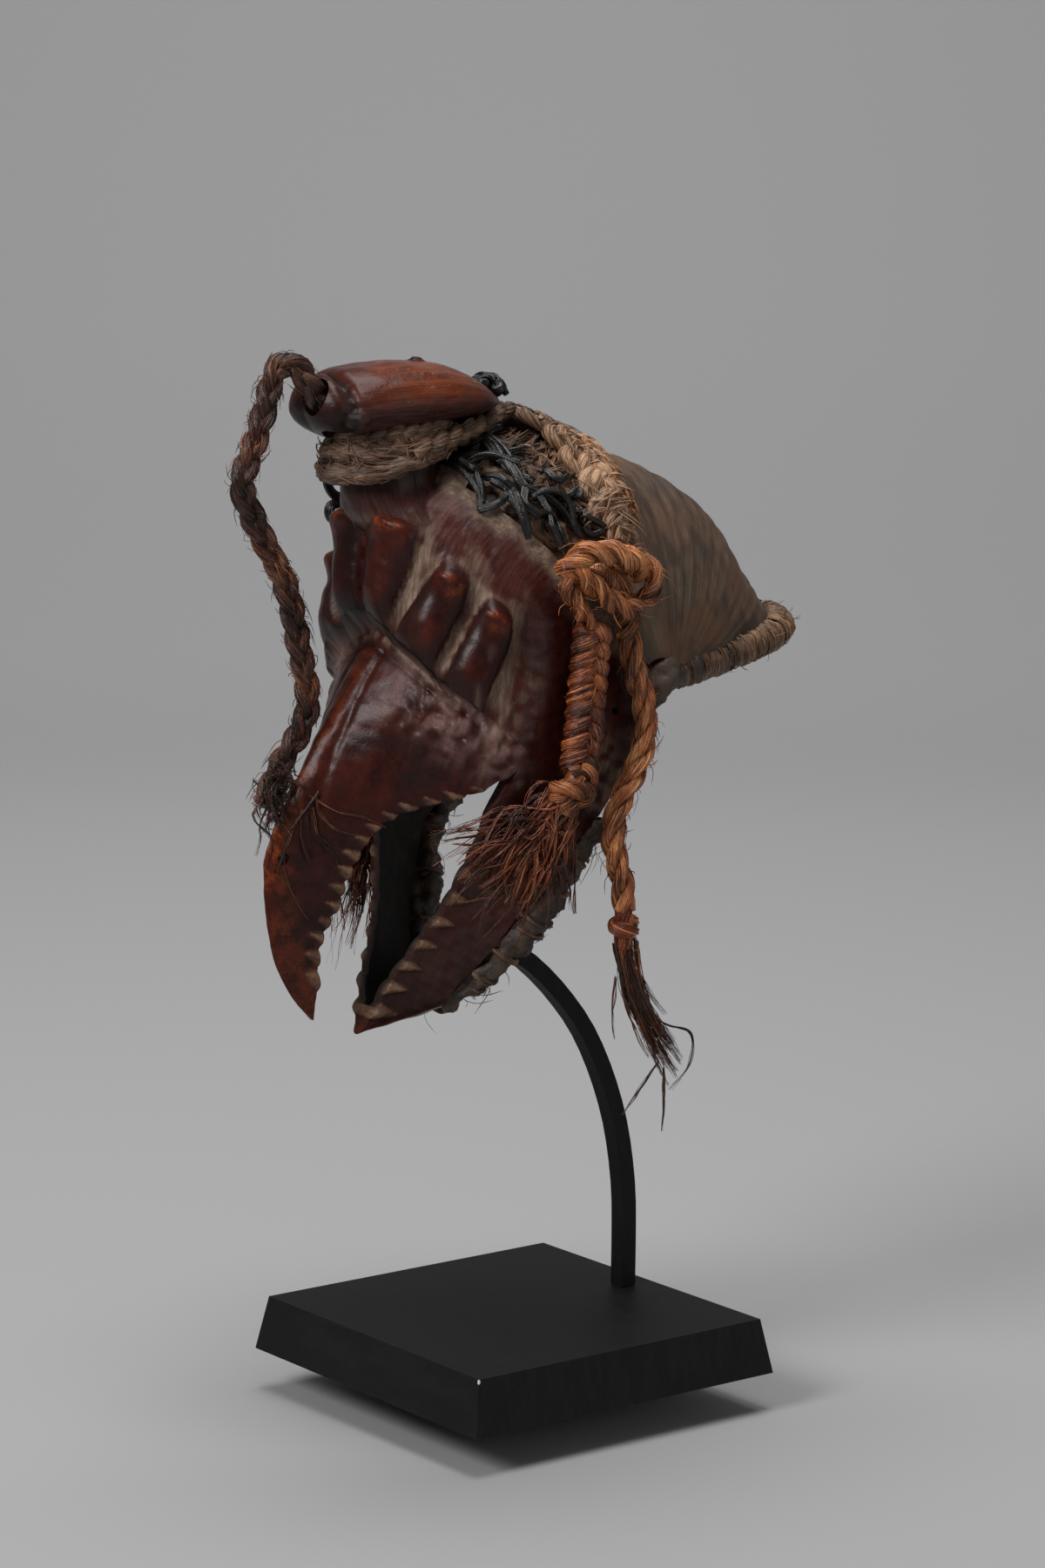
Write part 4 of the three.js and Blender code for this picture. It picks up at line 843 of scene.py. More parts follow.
def teeth_relief(down, forward):
    """Height of the low ridged triangles along both edges of the mouth."""
    height = np.zeros_like(down)
    for edge, (first, last, count, size), away in ((UPPER_EDGE, UPPER_TEETH, 1),
                                                   (LOWER_EDGE, LOWER_TEETH, -1)):
        beyond = away * (forward - along(edge, down))
        for i in range(count):
            middle = first + (last - first) * (i + 0.5) / count
            own = size * (0.62 + 0.38 * i / count) * (1 + 0.12 * math.sin(7.3 * i))
            u = beyond / (1.75 * own)
            half = own * 0.78 * np.clip(1 - u, 0, 1) ** 0.85
            off = down - middle - (0.2 if away > 0 else -0.95) * own * np.clip(u, 0, 1)
            ridge = np.clip(1 - np.abs(off) / np.maximum(half * np.where(off > 0, 0.55, 1.2), 0.05), 0, 1)
            profile = smooth(1.04, 0.75, u) * smooth(-0.25, 0.1, u)
            fade = smooth(247, 238, down) if away < 0 else 1
            height = np.maximum(height, ridge**0.8 * profile * (u < 1.04) * (u > -0.25) * fade * own / 6)
    return height


def head_skin():
    """The fine outer skin of head and beak, with the masks of its finishes."""
    v = np.concatenate([np.linspace(0, FRONT_SHARE, 88), np.linspace(FRONT_SHARE, SIDE_SHARE, 46)[1:],
                        np.linspace(SIDE_SHARE, 1, 10)[1:]])
    face_rows = np.concatenate([np.arange(-5, 77.9, 1.45), [78.1, 78.6]])
    beak_rows = np.concatenate([[79.6, 80.2], np.arange(81.2, 257, 1.3), [257.5]])
    rows = [(r, False) for r in face_rows] + [(r, True) for r in beak_rows]
    rings, data = [], []
    for row, beak in rows:
        x, forward = section(row, v, beak)
        share = 1 - (row - CHEVRON_DOWN) / LEAN_OUT if beak else row / CHEVRON_DOWN
        weight = max(0, share) ** 2
        drop = chevron_drop(x)
        down = row + drop * weight
        step = np.hypot(np.diff(x), np.diff(forward))
        around = np.concatenate([[0], np.cumsum(step)])
        slope_x = np.gradient(x)
        slope_f = np.gradient(forward)
        size = np.maximum(np.hypot(slope_x, slope_f), 1e-9)
        out_x, out_f = -slope_f / size, slope_x / size
        out_x[0], out_f[0], out_x[-1], out_f[-1] = 0, 1, 0, -1
        rise, tip = np.zeros_like(x), np.zeros_like(x)
        if not beak:
            rise, tip = lobe_rise(around, down, drop)
        lip = np.full_like(x, smooth(12, 2, row - CHEVRON_DOWN) if beak else 0) * smooth(66, 52, x)
        teeth = teeth_relief(down, forward) if beak else np.zeros_like(x)
        relief = rise + teeth * TOOTH_RISE
        if beak and row < CHEVRON_DOWN + LIP_WIDTH + 1.5:
            relief = relief + LIP_HEIGHT * smooth(64, 50, x) * smooth(6.5, 3.5, row - CHEVRON_DOWN)
        px, pf = x + out_x * relief, forward + out_f * relief
        left = seat(np.maximum(px, 0), pf, down)
        right = seat(-np.maximum(px[1:-1], 0.01), pf[1:-1], down[1:-1])[::-1]
        rings.append(np.vstack([left, right]))
        own = np.stack([around, down, forward, x, rise, tip, lip, teeth, np.full_like(x, float(beak)),
                        np.full_like(x, row)], 1)
        data.append(np.vstack([own, own[1:-1][::-1]]))
    return np.array(rings), np.array(data)


def grid_normals(rings):
    """Outward directions of a closed grid of points."""
    along_rows = np.gradient(rings, axis=0)
    round_ring = (np.roll(rings, -1, axis=1) - np.roll(rings, 1, axis=1)) / 2
    normal = np.cross(round_ring, along_rows)
    normal /= np.maximum(np.linalg.norm(normal, axis=2), 1e-9)[:, :, None]
    middle = rings.mean(axis=1, keepdims=True)
    if ((rings - middle) * normal).sum() < 0:
        normal = -normal
    return normal


def near_line(points, line, width):
    """1 on a line of points, falling to 0 at a distance."""
    line = route(line, 2.0)
    best = np.full(len(points), 1e9)
    for q in line:
        best = np.minimum(best, ((points - q) ** 2).sum(axis=1))
    return smooth(width, 0, np.sqrt(best))


def above_beak(down, x):
    """How far a point is above the line where the beak starts."""
    return CHEVRON_DOWN + chevron_drop(x) - down


def under_lip(row, x, beak, below, width):
    """1 along the groove under the beak's upper lip."""
    return np.exp(-((row - CHEVRON_DOWN - LIP_WIDTH - below) / width) ** 2) * beak * smooth(64, 50, x)


def carve(rings, data):
    """Knife work on the skin: grooves, ridges, dents and small waves, moved along its normals."""
    flat = rings.reshape(-1, 3)
    around, down, _, x, rise, _, _, _, beak, row = data.reshape(-1, 10).T
    left = flat[:, 0] > 0
    move = 0.32 * ripple(flat, 17, 3) + 0.14 * ripple(flat, 6.5, 4)
    dents = smooth(24, 50, around) * smooth(112, 86, around) * smooth(84, 92, down)
    dents = dents * smooth(136, 112, down) * beak
    hollows = np.maximum(0, ripple(flat, 10, 11) + 0.2)
    move -= dents * (1.7 * hollows - 0.35 + 0.55 * ripple(flat, 4.6, 12))
    culmen = smooth(9.0, 5.0, np.abs(x)) * beak * smooth(84, 92, down) * smooth(236, 200, down)
    move += 0.55 * culmen - 0.7 * smooth(3.0, 0, np.abs(np.abs(x) - 10)) * beak * smooth(236, 200, down)
    move += 1.5 * near_line(flat, TENDON_LINE, 4.2)
    move -= 0.8 * near_line(flat, TENDON_GROOVE, 3.0)
    lens = near_line(flat, PATCH_LINE, 3.2) * left
    move += 0.7 * lens
    groove = (1 - beak) * smooth(5.5, 0.5, above_beak(down, x))
    move -= 1.5 * groove * smooth(70, 58, around)
    move -= 0.7 * under_lip(row, x, beak, 3.6, 1.5)
    valley = (1 - beak) * smooth(34, 50, down) * smooth(3.4, 0.2, rise) * smooth(108, 96, around)
    move -= 0.7 * valley
    normal = grid_normals(rings).reshape(-1, 3)
    flat = flat + normal * move[:, None]
    flat[:, 0] = np.where(np.abs(x) < 0.02, 0, flat[:, 0])
    masks = head_masks(flat, data, lens)
    return flat.reshape(rings.shape), masks


def border_distance(down, forward):
    """Distance behind the carving's rear edge, measured in the side view."""
    p = np.stack([down, forward], 1)
    best = np.full(len(p), 1e9)
    for a, b in zip(BACK_EDGE[:-1], BACK_EDGE[1:]):
        a, b = np.array(a, float), np.array(b, float)
        u = np.clip(((p - a) @ (b - a)) / ((b - a) @ (b - a)), 0, 1)
        best = np.minimum(best, np.hypot(*(p - a - u[:, None] * (b - a)).T))
    return best


def head_masks(flat, data, lens):
    """Where dust, wear, bloom, painted sheen, darker tone and painted shade lie on the head and the beak,
    each from 0 to 1.
    """
    around, down, forward, x, rise, tip, lip, teeth, beak, row = data.reshape(-1, 10).T
    left = flat[:, 0] > 0
    face = 1 - beak
    wander = ripple(flat, 22, 21)
    small = ripple(flat, 7, 22)
    patchy = smooth(-0.9, 0.5, small)
    edge = border_distance(down, forward)
    above = above_beak(down, x)
    jaw = beak * smooth(1.5, -1.5, forward - along(LOWER_EDGE, down))

    # pale dust: between the lobes, above them, behind them, on the tendon, the lip and the rear cheek
    within = smooth(16, 28, around) * smooth(104, 94, around) * smooth(2, 12, above)
    valley = face * within * smooth(40, 47, down) * smooth(3.6, 0.6, rise + 0.7 * small)
    halo = face * within * smooth(26, 42, down + 5 * wander) * smooth(54, 46, down) * smooth(3.0, 0.5, rise)
    halo = halo * smooth(-0.5, 0.6, wander + 0.5 * small)
    behind = face * smooth(96, 106, around) * smooth(126, 112, around) * smooth(50, 62, down)
    crease = smooth(4, 0, np.abs(around - 78 - 0.25 * (down - 80)))
    crease = crease * smooth(84, 90, down) * smooth(128, 112, down)
    dust = valley * smooth(-1.5, 0.0, wander) + 0.5 * halo
    dust = dust + 0.3 * behind * smooth(-0.3, 0.6, small) + 0.4 * crease
    cheek = smooth(42, 14, edge + 4 * wander) * smooth(44, 70, down) * patchy
    for more in (0.75 * near_line(flat, TENDON_LINE, 4.5), 0.8 * lens,
                 0.42 * lip * smooth(6.5, 4.0, row - CHEVRON_DOWN) * patchy,
                 0.66 * cheek * (1 - 0.85 * jaw)):
        dust = np.maximum(dust, more)

    # red wear: on the lobes' tops and along the ridge of the beak
    culmen = smooth(7.5, 3.5, np.abs(x) - 1.5 * small) * beak
    thin = smooth(4.6, 1.4, np.abs(x) - 1.2 * small) * beak
    worn = smooth(0.72, 1.05, rise / LOBE_HEIGHT) * tip * smooth(-0.5, 0.5, small) * 0.8
    for more in (0.9 * thin * smooth(156, 172, down) * smooth(232, 206, down),
                 0.25 * culmen * smooth(84, 94, down)):
        worn = np.maximum(worn, more)

    # grey-red bloom on the forehead; over the dents at the root of the beak, a painted sheen
    bloom_and_sheen = face * smooth(66, 10, down + 9 * wander + 0.5 * np.maximum(around - 70, 0)) * (1 - 0.6 * valley)
    bloom_and_sheen = bloom_and_sheen * (0.45 + 0.55 * smooth(-0.9, 0.7, small + wander)) * smooth(8, 3, rise)
    dents = beak * smooth(10, 34, around) * smooth(118, 92, around) * smooth(130, 100, down + 6 * wander)
    bloom_and_sheen = np.maximum(bloom_and_sheen, dents * smooth(-0.9, 0.6, ripple(flat, 9, 24)))

    # darker tone near the rear edge, on the lobes' flanks and lower parts, in patches of the beak and
    # towards its tip; painted shade in the groove under the lobes, in the groove under the lip and on the
    # far side
    dark = 0.1 * smooth(16, 3, edge + 3 * wander) * smooth(30, 70, down)
    dark = dark + face * smooth(7, 1, above) * smooth(72, 62, around)
    for more in (0.8 * under_lip(row, x, beak, 3.8, 1.6),
                 0.55 * beak * smooth(-0.3, 0.8, ripple(flat, 26, 25)) * smooth(6, 20, around),
                 0.4 * beak * smooth(140, 190, down) * smooth(3, 12, around),
                 0.6 * face * smooth(1.5, 4.5, rise) * smooth(9.2, 6.5, rise) * smooth(30, 46, down),
                 0.4 * face * smooth(3, 8, rise) * smooth(0.3, 0.0, tip) * smooth(-0.4, 0.8, wander),
                 0.5 * smooth(205, 250, down + 4 * wander) * beak * (1 - culmen) * (1 - jaw),
                 0.34 * (~left) * smooth(30, 60, around) * smooth(60, 75, down)):
        dark = np.maximum(dark, more)

    border = smooth(13, 6, edge + 2.5 * wander) * smooth(60, 20, down)
    values = {"dust": dust, "worn": worn, "bloom_and_sheen": bloom_and_sheen, "border": border, "dark": dark,
              "tooth": smooth(0.12, 0.5, teeth), "beak": beak}
    values = {k: np.clip(v, 0, 1) for k, v in values.items()}
    values["flow_u"] = around * np.where(left, 1, -1)
    values["flow_v"] = down
    return values


# The crest and its neck
CREST_TOP = [[-139.5, 526], [-136, 533], [-130, 537], [-124, 537], [-118, 540], [-90, 543], [-71, 542],
             [-57, 540], [-40, 533.5], [-28, 526.5], [-19, 520.5]]
CREST_UNDER = [[-139.5, 518], [-136, 511.5], [-130, 507.5], [-122, 505], [-100, 506.5], [-80, 508],
               [-40, 513], [-19, 517]]
CREST_WIDTH = [[-139.5, 6], [-136, 14.5], [-130, 21], [-124, 23], [-118, 28], [-105, 32], [-85, 34.5],
               [-65, 34], [-45, 28], [-28, 16], [-19, 6]]
NECK_RINGS = [[513, -87, 27, 22], [500, -86.5, 26.5, 21], [490, -86, 27, 22], [480, -85, 27, 23.5],
              [472, -84, 26.5, 27], [462, -82, 24, 33], [452, -78, 15, 28]]


CREST_COLUMNS = 112
CREST_EYE = (24.5, -122.5, 513.5)
CREST_NUB = (0, -69.5, 541)


def crest_skin():
    """The crest: a long rounded body with a groove round its front, an eye each side and a nub on top."""
    rings = []
    angle = np.linspace(0, 2 * math.pi, CREST_COLUMNS, endpoint=False)
    rows = np.concatenate([[-139.5, -139, -138], np.arange(-136.8, -20, 1.35), [-19.6, -19]])
    for y in rows:
        top, under, width = (float(along(line, y)) for line in (CREST_TOP, CREST_UNDER, CREST_WIDTH))
        middle = under + (top - under) * 0.42
        high = np.sin(angle)
        reach = np.where(high > 0, top - middle, middle - under)
        slant = -0.16 * width * np.abs(np.cos(angle)) * float(smooth(-70, -120, y))
        rings.append(np.stack([width * np.cos(angle), y + slant, middle + reach * high], 1))
    rings = np.array(rings)
    flat = rings.reshape(-1, 3)
    angle, y = np.tile(angle, len(rows)), np.repeat(rows, CREST_COLUMNS)
    normal = grid_normals(rings).reshape(-1, 3)
    groove = np.exp(-((y + 121.5 + 3.5 * np.sin(angle)) / 1.3) ** 2)
    move = -1.5 * groove + 0.25 * ripple(flat, 16, 31) + 0.08 * ripple(flat, 5, 32)
    for side in (-1, 1):
        away = np.linalg.norm((flat - sided(CREST_EYE, side)) * (1, 1, 0.8), axis=1)
        move += 2.6 * smooth(6.5, 1.5, away) - 1.0 * np.exp(-((away - 7.2) / 1.2) ** 2)
    nub = np.linalg.norm((flat - CREST_NUB) * (1, 0.7, 0.5), axis=1)
    move += 2.2 * smooth(3.6, 1.6, nub)
    flat = flat + normal * move[:, None]
    wander = ripple(flat, 20, 33)
    high = smooth(516, 531, flat[:, 2] + 3 * wander)
    middle = smooth(-118, -96, flat[:, 1]) * smooth(-30, -62, flat[:, 1] + 4 * wander)
    crest = high * (0.25 + 0.75 * middle)
    worn = 0.35 * smooth(4.4, 6.0, nub) * smooth(526, 540, flat[:, 2] + 2 * wander) * middle
    worn = worn * smooth(-0.2, 0.6, ripple(flat, 26, 35) + 0.35)
    under = smooth(515, 508, flat[:, 2] + 1.5 * wander) * smooth(-112, -98, flat[:, 1])
    # darker towards the bottom; painted shade in the groove round the front
    dark = 0.45 * smooth(527, 513, flat[:, 2] + 2.5 * wander) * (1 - under) + 0.9 * groove
    dark = np.clip(dark + 0.4 * smooth(-116, -128, y) + smooth(4.2, 3.4, nub), 0, 1)
    return flat.reshape(rings.shape), {
        "dust": 0.75 * under, "worn": worn, "bloom_and_sheen": 0.8 * (1 - high) * smooth(-134, -110, y),
        "dark": dark, "crest": crest, "flow_u": 30 * angle, "flow_v": y}


def neck_skin():
    """The neck that joins the crest to the forehead."""
    columns = 96
    angle = np.linspace(0, 2 * math.pi, columns, endpoint=False)
    line = [[r[0], r[1:]] for r in NECK_RINGS][::-1]
    rings = []
    for z in np.linspace(452, 513, 44):
        y, half_length, half_width = (float(along([[h, v[k]] for h, v in line], z)) for k in range(3))
        rings.append(np.stack([half_width * np.cos(angle), y + half_length * np.sin(angle),
                               np.full(columns, z)], 1))
    rings = np.array(rings)
    flat = rings.reshape(-1, 3)
    normal = grid_normals(rings).reshape(-1, 3)
    flat = flat + normal * (0.35 * ripple(flat, 14, 41) + 0.1 * ripple(flat, 5, 42))[:, None]
    return flat.reshape(rings.shape), {
        "dust": 0.5 * smooth(470, 458, flat[:, 2]), "bloom_and_sheen": 0.3,
        "dark": 0.3 + 0.4 * smooth(474, 488, flat[:, 2]),
        "flow_u": np.tile(angle * 28, len(rings)), "flow_v": -flat[:, 2]}


def side_cutter(name, outline, half_width):
    """An outline of [down, forward] points cut through the head from side to side."""
    count = len(outline)
    points = np.vstack([seat(x, [p[1] for p in outline], [p[0] for p in outline])
                        for x in (-half_width, half_width)])
    faces = [list(range(count))[::-1], list(range(count, 2 * count))]
    faces += [[i, (i + 1) % count, count + (i + 1) % count, count + i] for i in range(count)]
    return closed_piece(name, points, faces)


def peg(name, at, towards, radius, length, sides=28):
    """A round bar about a point, to drill a hole with."""
    direction = unit(np.subtract(towards, at).astype(float))
    ends = np.array([np.array(at) - direction * length / 2, np.array(at) + direction * length / 2])
    _, a, b = frames(ends, (0.3, 0.5, 0.8))
    turn = np.linspace(0, 2 * math.pi, sides, endpoint=False)
    return closed_piece(name, *loft([end + radius * on_circle(turn, a[0], b[0]) for end in ends]))


def edge_line(edge, teeth, inwards):
    """A mouth edge with a rounded notch between every two teeth."""
    first, last, count, _ = teeth
    points = []
    for i in range(count * 8 + 1):
        down = first + (last - first) * i / (count * 8)
        bulge = abs(math.sin(math.pi * i / 8)) ** 0.8
        points.append([down, float(along(edge, down)) + 0.8 * inwards * (1 - bulge)])
    return points


def mouth_cutter():
    """The opening between upper and lower beak."""
    upper = edge_line(UPPER_EDGE, UPPER_TEETH, 1.7)
    lower = edge_line(LOWER_EDGE, LOWER_TEETH, -1.7)[::-1]
    outline = [MOUTH_CORNER, [112, -17.5], *upper, [262, -49], [262, -74], *lower, [128, -29.5],
               [112, -20.5]]
    return side_cutter("mouth cutter", outline, 90)


def hollow_cutter():
    """The inside of the head, behind its wall."""
    v = np.concatenate([np.linspace(0, FRONT_SHARE, 26), np.linspace(FRONT_SHARE, SIDE_SHARE, 10)[1:],
                        np.linspace(SIDE_SHARE, 1, 8)[1:]])
    rings = []
    for row in np.concatenate([np.arange(-8, 232, 8), [232]]):
        front = float(along(BEAK_FRONT, max(row, 80)) - along(HOLLOW_FRONT, row))
        x, forward = section(row, v, True, front, WALL)
        left = seat(x, forward, row)
        right = seat(-np.maximum(x[1:-1], 0.01), forward[1:-1], row)[::-1]
        ring = np.vstack([left, right])
        ring[0, 0] = ring[len(v) - 1, 0] = 0
        rings.append(ring)
    rings = np.array(rings)
    flat = rings.reshape(-1, 3)
    chisel = 0.5 * ripple(flat, 13, 51)
    flat[:, 1] += chisel
    return closed_piece("hollow cutter", *loft(flat.reshape(rings.shape)))


FRONT_ROPE_ROUTE = [
    (7, -132, 521.5), (7, -137.5, 528), (6.5, -142.5, 535), (5, -146.5, 541), (3, -151, 543.5),
    (1, -155.5, 541.5), (0, -158.5, 536), (0, -161, 527), (0, -165, 515.5), (0, -169, 504.5),
    (0, -174, 494), (0, -177, 483), (0, -172.5, 471.5), (0, -166.5, 460), (0, -160, 448.5),
    (0, -152.5, 436.5), (0, -148, 424.5), (0, -145, 413.5), (0, -142.5, 402), (0, -139.5, 390),
    (0, -136.5, 376), (-1, -136, 366.5), (-4, -138, 356), (-6, -143.5, 346.5), (-7, -149.5, 337.5),
    (-7, -155, 329), (-7, -161, 320)]


def paint(piece, sources):
    """Gives each point of a cut mesh the masks of the nearest point of the skins it came from."""
    points = np.vstack([grid.reshape(-1, 3) for grid, _ in sources])
    keys = [*WOOD_MASKS, "flow_u", "flow_v"]
    values = np.stack([np.concatenate([np.broadcast_to(masks.get(key, 0.0), grid.size // 3)
                                       for grid, masks in sources]) for key in keys], 1)
    tree = kdtree.KDTree(len(points))
    for i, p in enumerate(points):
        tree.insert(p, i)
    tree.balance()
    here = points_of(piece)
    nearest = np.empty(len(here), int)
    away = np.empty(len(here))
    for i, p in enumerate(here):
        _, nearest[i], away[i] = tree.find(p)
    own = values[nearest]
    inside = smooth(1.6, 2.6, away)
    for k, key in enumerate(keys):
        if key.startswith("flow"):
            continue
        value = own[:, k]
        value = np.maximum(value, inside) if key == "hollow" else value * (1 - inside)
        store(piece, key, value)
    flow = np.stack([own[:, keys.index("flow_u")], own[:, keys.index("flow_v")], np.zeros(len(here))], 1)
    store(piece, "flow", flow * MM)


def carving():
    """Head, neck and crest in one, hollowed, cut open at the mouth and behind, and drilled."""
    skins = [carve(*head_skin()), crest_skin(), neck_skin()]
    head, crest, neck = (closed_piece(name, *loft(rings)) for name, (rings, _) in
                         zip(("mask_carving", "crest", "neck"), skins))
    outside = BVHTree.FromPolygons([v.co.copy() for v in head.data.vertices],
                                   [tuple(p.vertices) for p in head.data.polygons])
    head = cut(head, [neck, crest], "UNION")
    back = side_cutter("back cutter", [*BACK_EDGE, [211, -220], [-60, -220], [-60, 79.5]], 100)
    holes = [peg("rope hole", FRONT_ROPE_ROUTE[0], FRONT_ROPE_ROUTE[1], 8.6, 44)]
    spot = seat(0, 28, 205)
    sideways = (1, 0, 0)
    holes.append(peg("beak hole", spot, spot + sideways, 3, 60))
    for side in (-1, 1):
        spot = seat(side * 67, -51, 44)
        holes.append(peg("cheek hole", spot, spot + sideways, 2.6, 24))
    head = cut(head, [hollow_cutter(), mouth_cutter(), back, *holes])
    paint(head, skins)
    dress(head, WOOD)
    shade_smooth(head, 55)
    settle(head, "carved_wood", "carved_mask")
    return outside


HEAD_SKIN = carving()


def proud(line, clearance):
    """Lifts the points of a line that would sink into the carved head out to a clearance above it."""
    line = np.array(line, float)
    for i, point in enumerate(line):
        at = Vector(point * MM)
        spot, normal, _, _ = HEAD_SKIN.find_nearest(at)
        if (at - spot).dot(normal) < clearance * MM:
            line[i] = np.array(spot + normal * (clearance * MM)) / MM
    return line


# The woven hood turns about a line through both cheek corners
HOOD_PIVOT_Y = 45
HOOD_PIVOT_Z = 372
HOOD_REACH = [[2, 118], [8, 117], [20, 107], [38, 101], [55, 106], [75, 112], [90, 119], [99, 124],
              [108, 135], [120, 144], [134, 148.5], [146, 149]]
HOOD_WIDTH = [[2, 63], [8, 64], [30, 70], [60, 72], [100, 71], [134, 69.5], [146, 69.5]]
HOOD_ROUNDNESS = 2.6
HOOD_WALL = 4.5
HOOD_RIBS = 46
RIM_ANGLE = 7.6
RIM_LIFT = 7.5
RIM_RADIUS = 9.5
FRONT_EDGE_ANGLE = 134.4
RIM_REACH = 119
RIM_HALF_WIDTH = 62


def on_hood(turn, around, lift):
    """Points over the hood, from the turn in degrees, the way round and the lift off its skin."""
    turn, around, lift = np.broadcast_arrays(np.asarray(turn, float), around, lift)
    reach = along(HOOD_REACH, turn)
    width = along(HOOD_WIDTH, turn)
    power = 2 / HOOD_ROUNDNESS
    cos = np.maximum(np.cos(around), 0)
    sin = np.sin(around)
    out = np.stack([cos ** (2 - power) / reach, np.sign(sin) * np.abs(sin) ** (2 - power) / width], -1)
    out /= np.linalg.norm(out, axis=-1, keepdims=True)
    radius = reach * cos**power + out[..., 0] * lift
    x = width * np.sign(sin) * np.abs(sin) ** power + out[..., 1] * lift
    angle = np.radians(turn)
    return np.stack([x, HOOD_PIVOT_Y + radius * np.cos(angle), HOOD_PIVOT_Z + radius * np.sin(angle)], -1)


def over_hood(line, side, shift=(0.0, 0.0, 0.0)):
    """A line of [turn, way round, lift] on the left (1) or the right (-1) of the hood."""
    turn, around, lift = (np.array(line, float) + shift).T
    return on_hood(turn, side * around, lift)


def strayed(first, turn_step, around_step, low, high, rng):
    """Three random steps over the hood from a first one, for a loose strand."""
    steps = [first]
    for _ in range(2):
        turn, around, _ = steps[-1]
        steps.append((turn + rng.normal() * turn_step, around + rng.normal() * around_step,
                      rng.uniform(low, high)))
    return steps


def pivot_slab(name, angle_degrees, low, high):
    """A slab with one face on the line that leaves the pivot at an angle."""
    angle = math.radians(angle_degrees)
    corners = []
    for z in (low, high):
        for x, y in ((-200, -230), (200, -230), (200, 230), (-200, 230)):
            corners.append((x, HOOD_PIVOT_Y + y * math.cos(angle) - z * math.sin(angle),
                            HOOD_PIVOT_Z + y * math.sin(angle) + z * math.cos(angle)))
    faces = [[0, 3, 2, 1], [4, 5, 6, 7], [0, 1, 5, 4], [1, 2, 6, 5], [2, 3, 7, 6], [3, 0, 4, 7]]
    return closed_piece(name, corners, faces)


def hood():
    """The cap: a thin ribbed shell, cut where the rim and the carving meet it."""
    turns = np.arange(2, 146.1, 1.05)
    columns = np.linspace(-1.5, 1.5, 118)
    grid = on_hood(turns[:, None], columns[None, :], 0.0)
    flat = grid.reshape(-1, 3)
    rib = np.sin(np.radians(turns) * HOOD_RIBS + 1.5 * np.sin(turns * 0.23))
    weave = 0.34 * rib[:, None] * (0.5 + 0.5 * np.cos(columns * 1.3))[None, :]
    dents = (0.7 * ripple(flat, 34, 61) + 0.3 * ripple(flat, 11, 62)).reshape(len(turns), -1)
    fold = -1.6 * np.exp(-((np.abs(columns)[None, :] - 1.05) / 0.10) ** 2) * smooth(34, 14, turns)[:, None]
    top = on_hood(turns[:, None], columns[None, :], weave + 0.55 * dents + fold)
    low = on_hood(turns[:, None], columns[None, :], -HOOD_WALL + 0.4 * dents)
    shell = np.concatenate([top, low[:, ::-1]], axis=1)
    piece = closed_piece("woven_hood", *loft(shell))
    into_rim = RIM_LIFT + 3.5
    piece = cut(piece, [pivot_slab("below", RIM_ANGLE, -200, into_rim),
                        pivot_slab("ahead", FRONT_EDGE_ANGLE, 0.6, 200)])
    points = points_of(piece)
    y, z = points[:, 1] - HOOD_PIVOT_Y, points[:, 2] - HOOD_PIVOT_Z
    turn = np.degrees(np.arctan2(z, y))
    across = points[:, 0]
    wander = ripple(points, 30, 63)
    dust = 0.35 * smooth(92, 104, turn + 3 * wander) + 0.3 * smooth(30, 16, turn + 4 * wander)
    dust = dust + 0.2 * smooth(0, 0.6, wander)
    streaks = ripple(points * (0.12, 1, 0.5), 9, 64) + 0.5 * wander
    # darker down some streaks and near the rim; from the plait forward, painted shade under the lacing
    dark = 0.45 * smooth(-0.1, 0.9, streaks) + 0.3 * smooth(36, 20, turn) + 0.25 * smooth(108, 116, turn)
    store(piece, "dust", np.clip(dust, 0, 1))
    store(piece, "dark", np.clip(dark, 0, 1))
    store(piece, "flow", np.stack([turn * 2.0, across, np.zeros(len(points))], 1) * MM)
    dress(piece, HOOD)
    shade_smooth(piece, 50)
    settle(piece, "woven_fibre", "hood")


def rolled(name, line, radii, look, seed, columns=24, lumps=0.0, wound=False):
    """A closed lumpy roll along a line, with rounded ends and streaks along or round it."""
    count = len(line)
    _, side, cross = frames(line)
    share = np.linspace(0, 1, count)
    length = length_of(line)
    radii = np.broadcast_to(np.asarray(radii, float), count)
    end = np.minimum(share, 1 - share) * length / radii
    swell = np.sqrt(np.clip(1 - (1 - np.clip(end, 0, 1)) ** 2, 0.02, 1))
    turn = np.linspace(0, 2 * math.pi, columns, endpoint=False)
    ring = (np.cos(turn)[None, :, None] * side[:, None, :]
            + np.sin(turn)[None, :, None] * cross[:, None, :])
    points = line[:, None, :] + ring * (radii * swell)[:, None, None]
    if lumps:
        flat = points.reshape(-1, 3)
        move = lumps * (0.7 * ripple(flat, 12, seed) + 0.3 * ripple(flat, 5, seed + 1))
        points = (flat + ring.reshape(-1, 3) * move[:, None]).reshape(points.shape)
    piece = closed_piece(name, *loft(points))
    store(piece, "shade", np.full(len(piece.data.vertices), -1.0))
    run = np.broadcast_to((share * length)[:, None], (count, columns))
    flow = np.stack([np.cos(turn) * radii[:, None], np.sin(turn) * radii[:, None], run], -1)
    flow = flow * ((0.07, 0.07, 1.0) if wound else (1.0, 1.0, 0.06)) * MM
    flow = np.vstack([flow.reshape(-1, 3), flow[0, :1], flow[-1, :1]])
    store(piece, "flow", flow)
    dress(piece, look)
    shade_smooth(piece)
    return piece


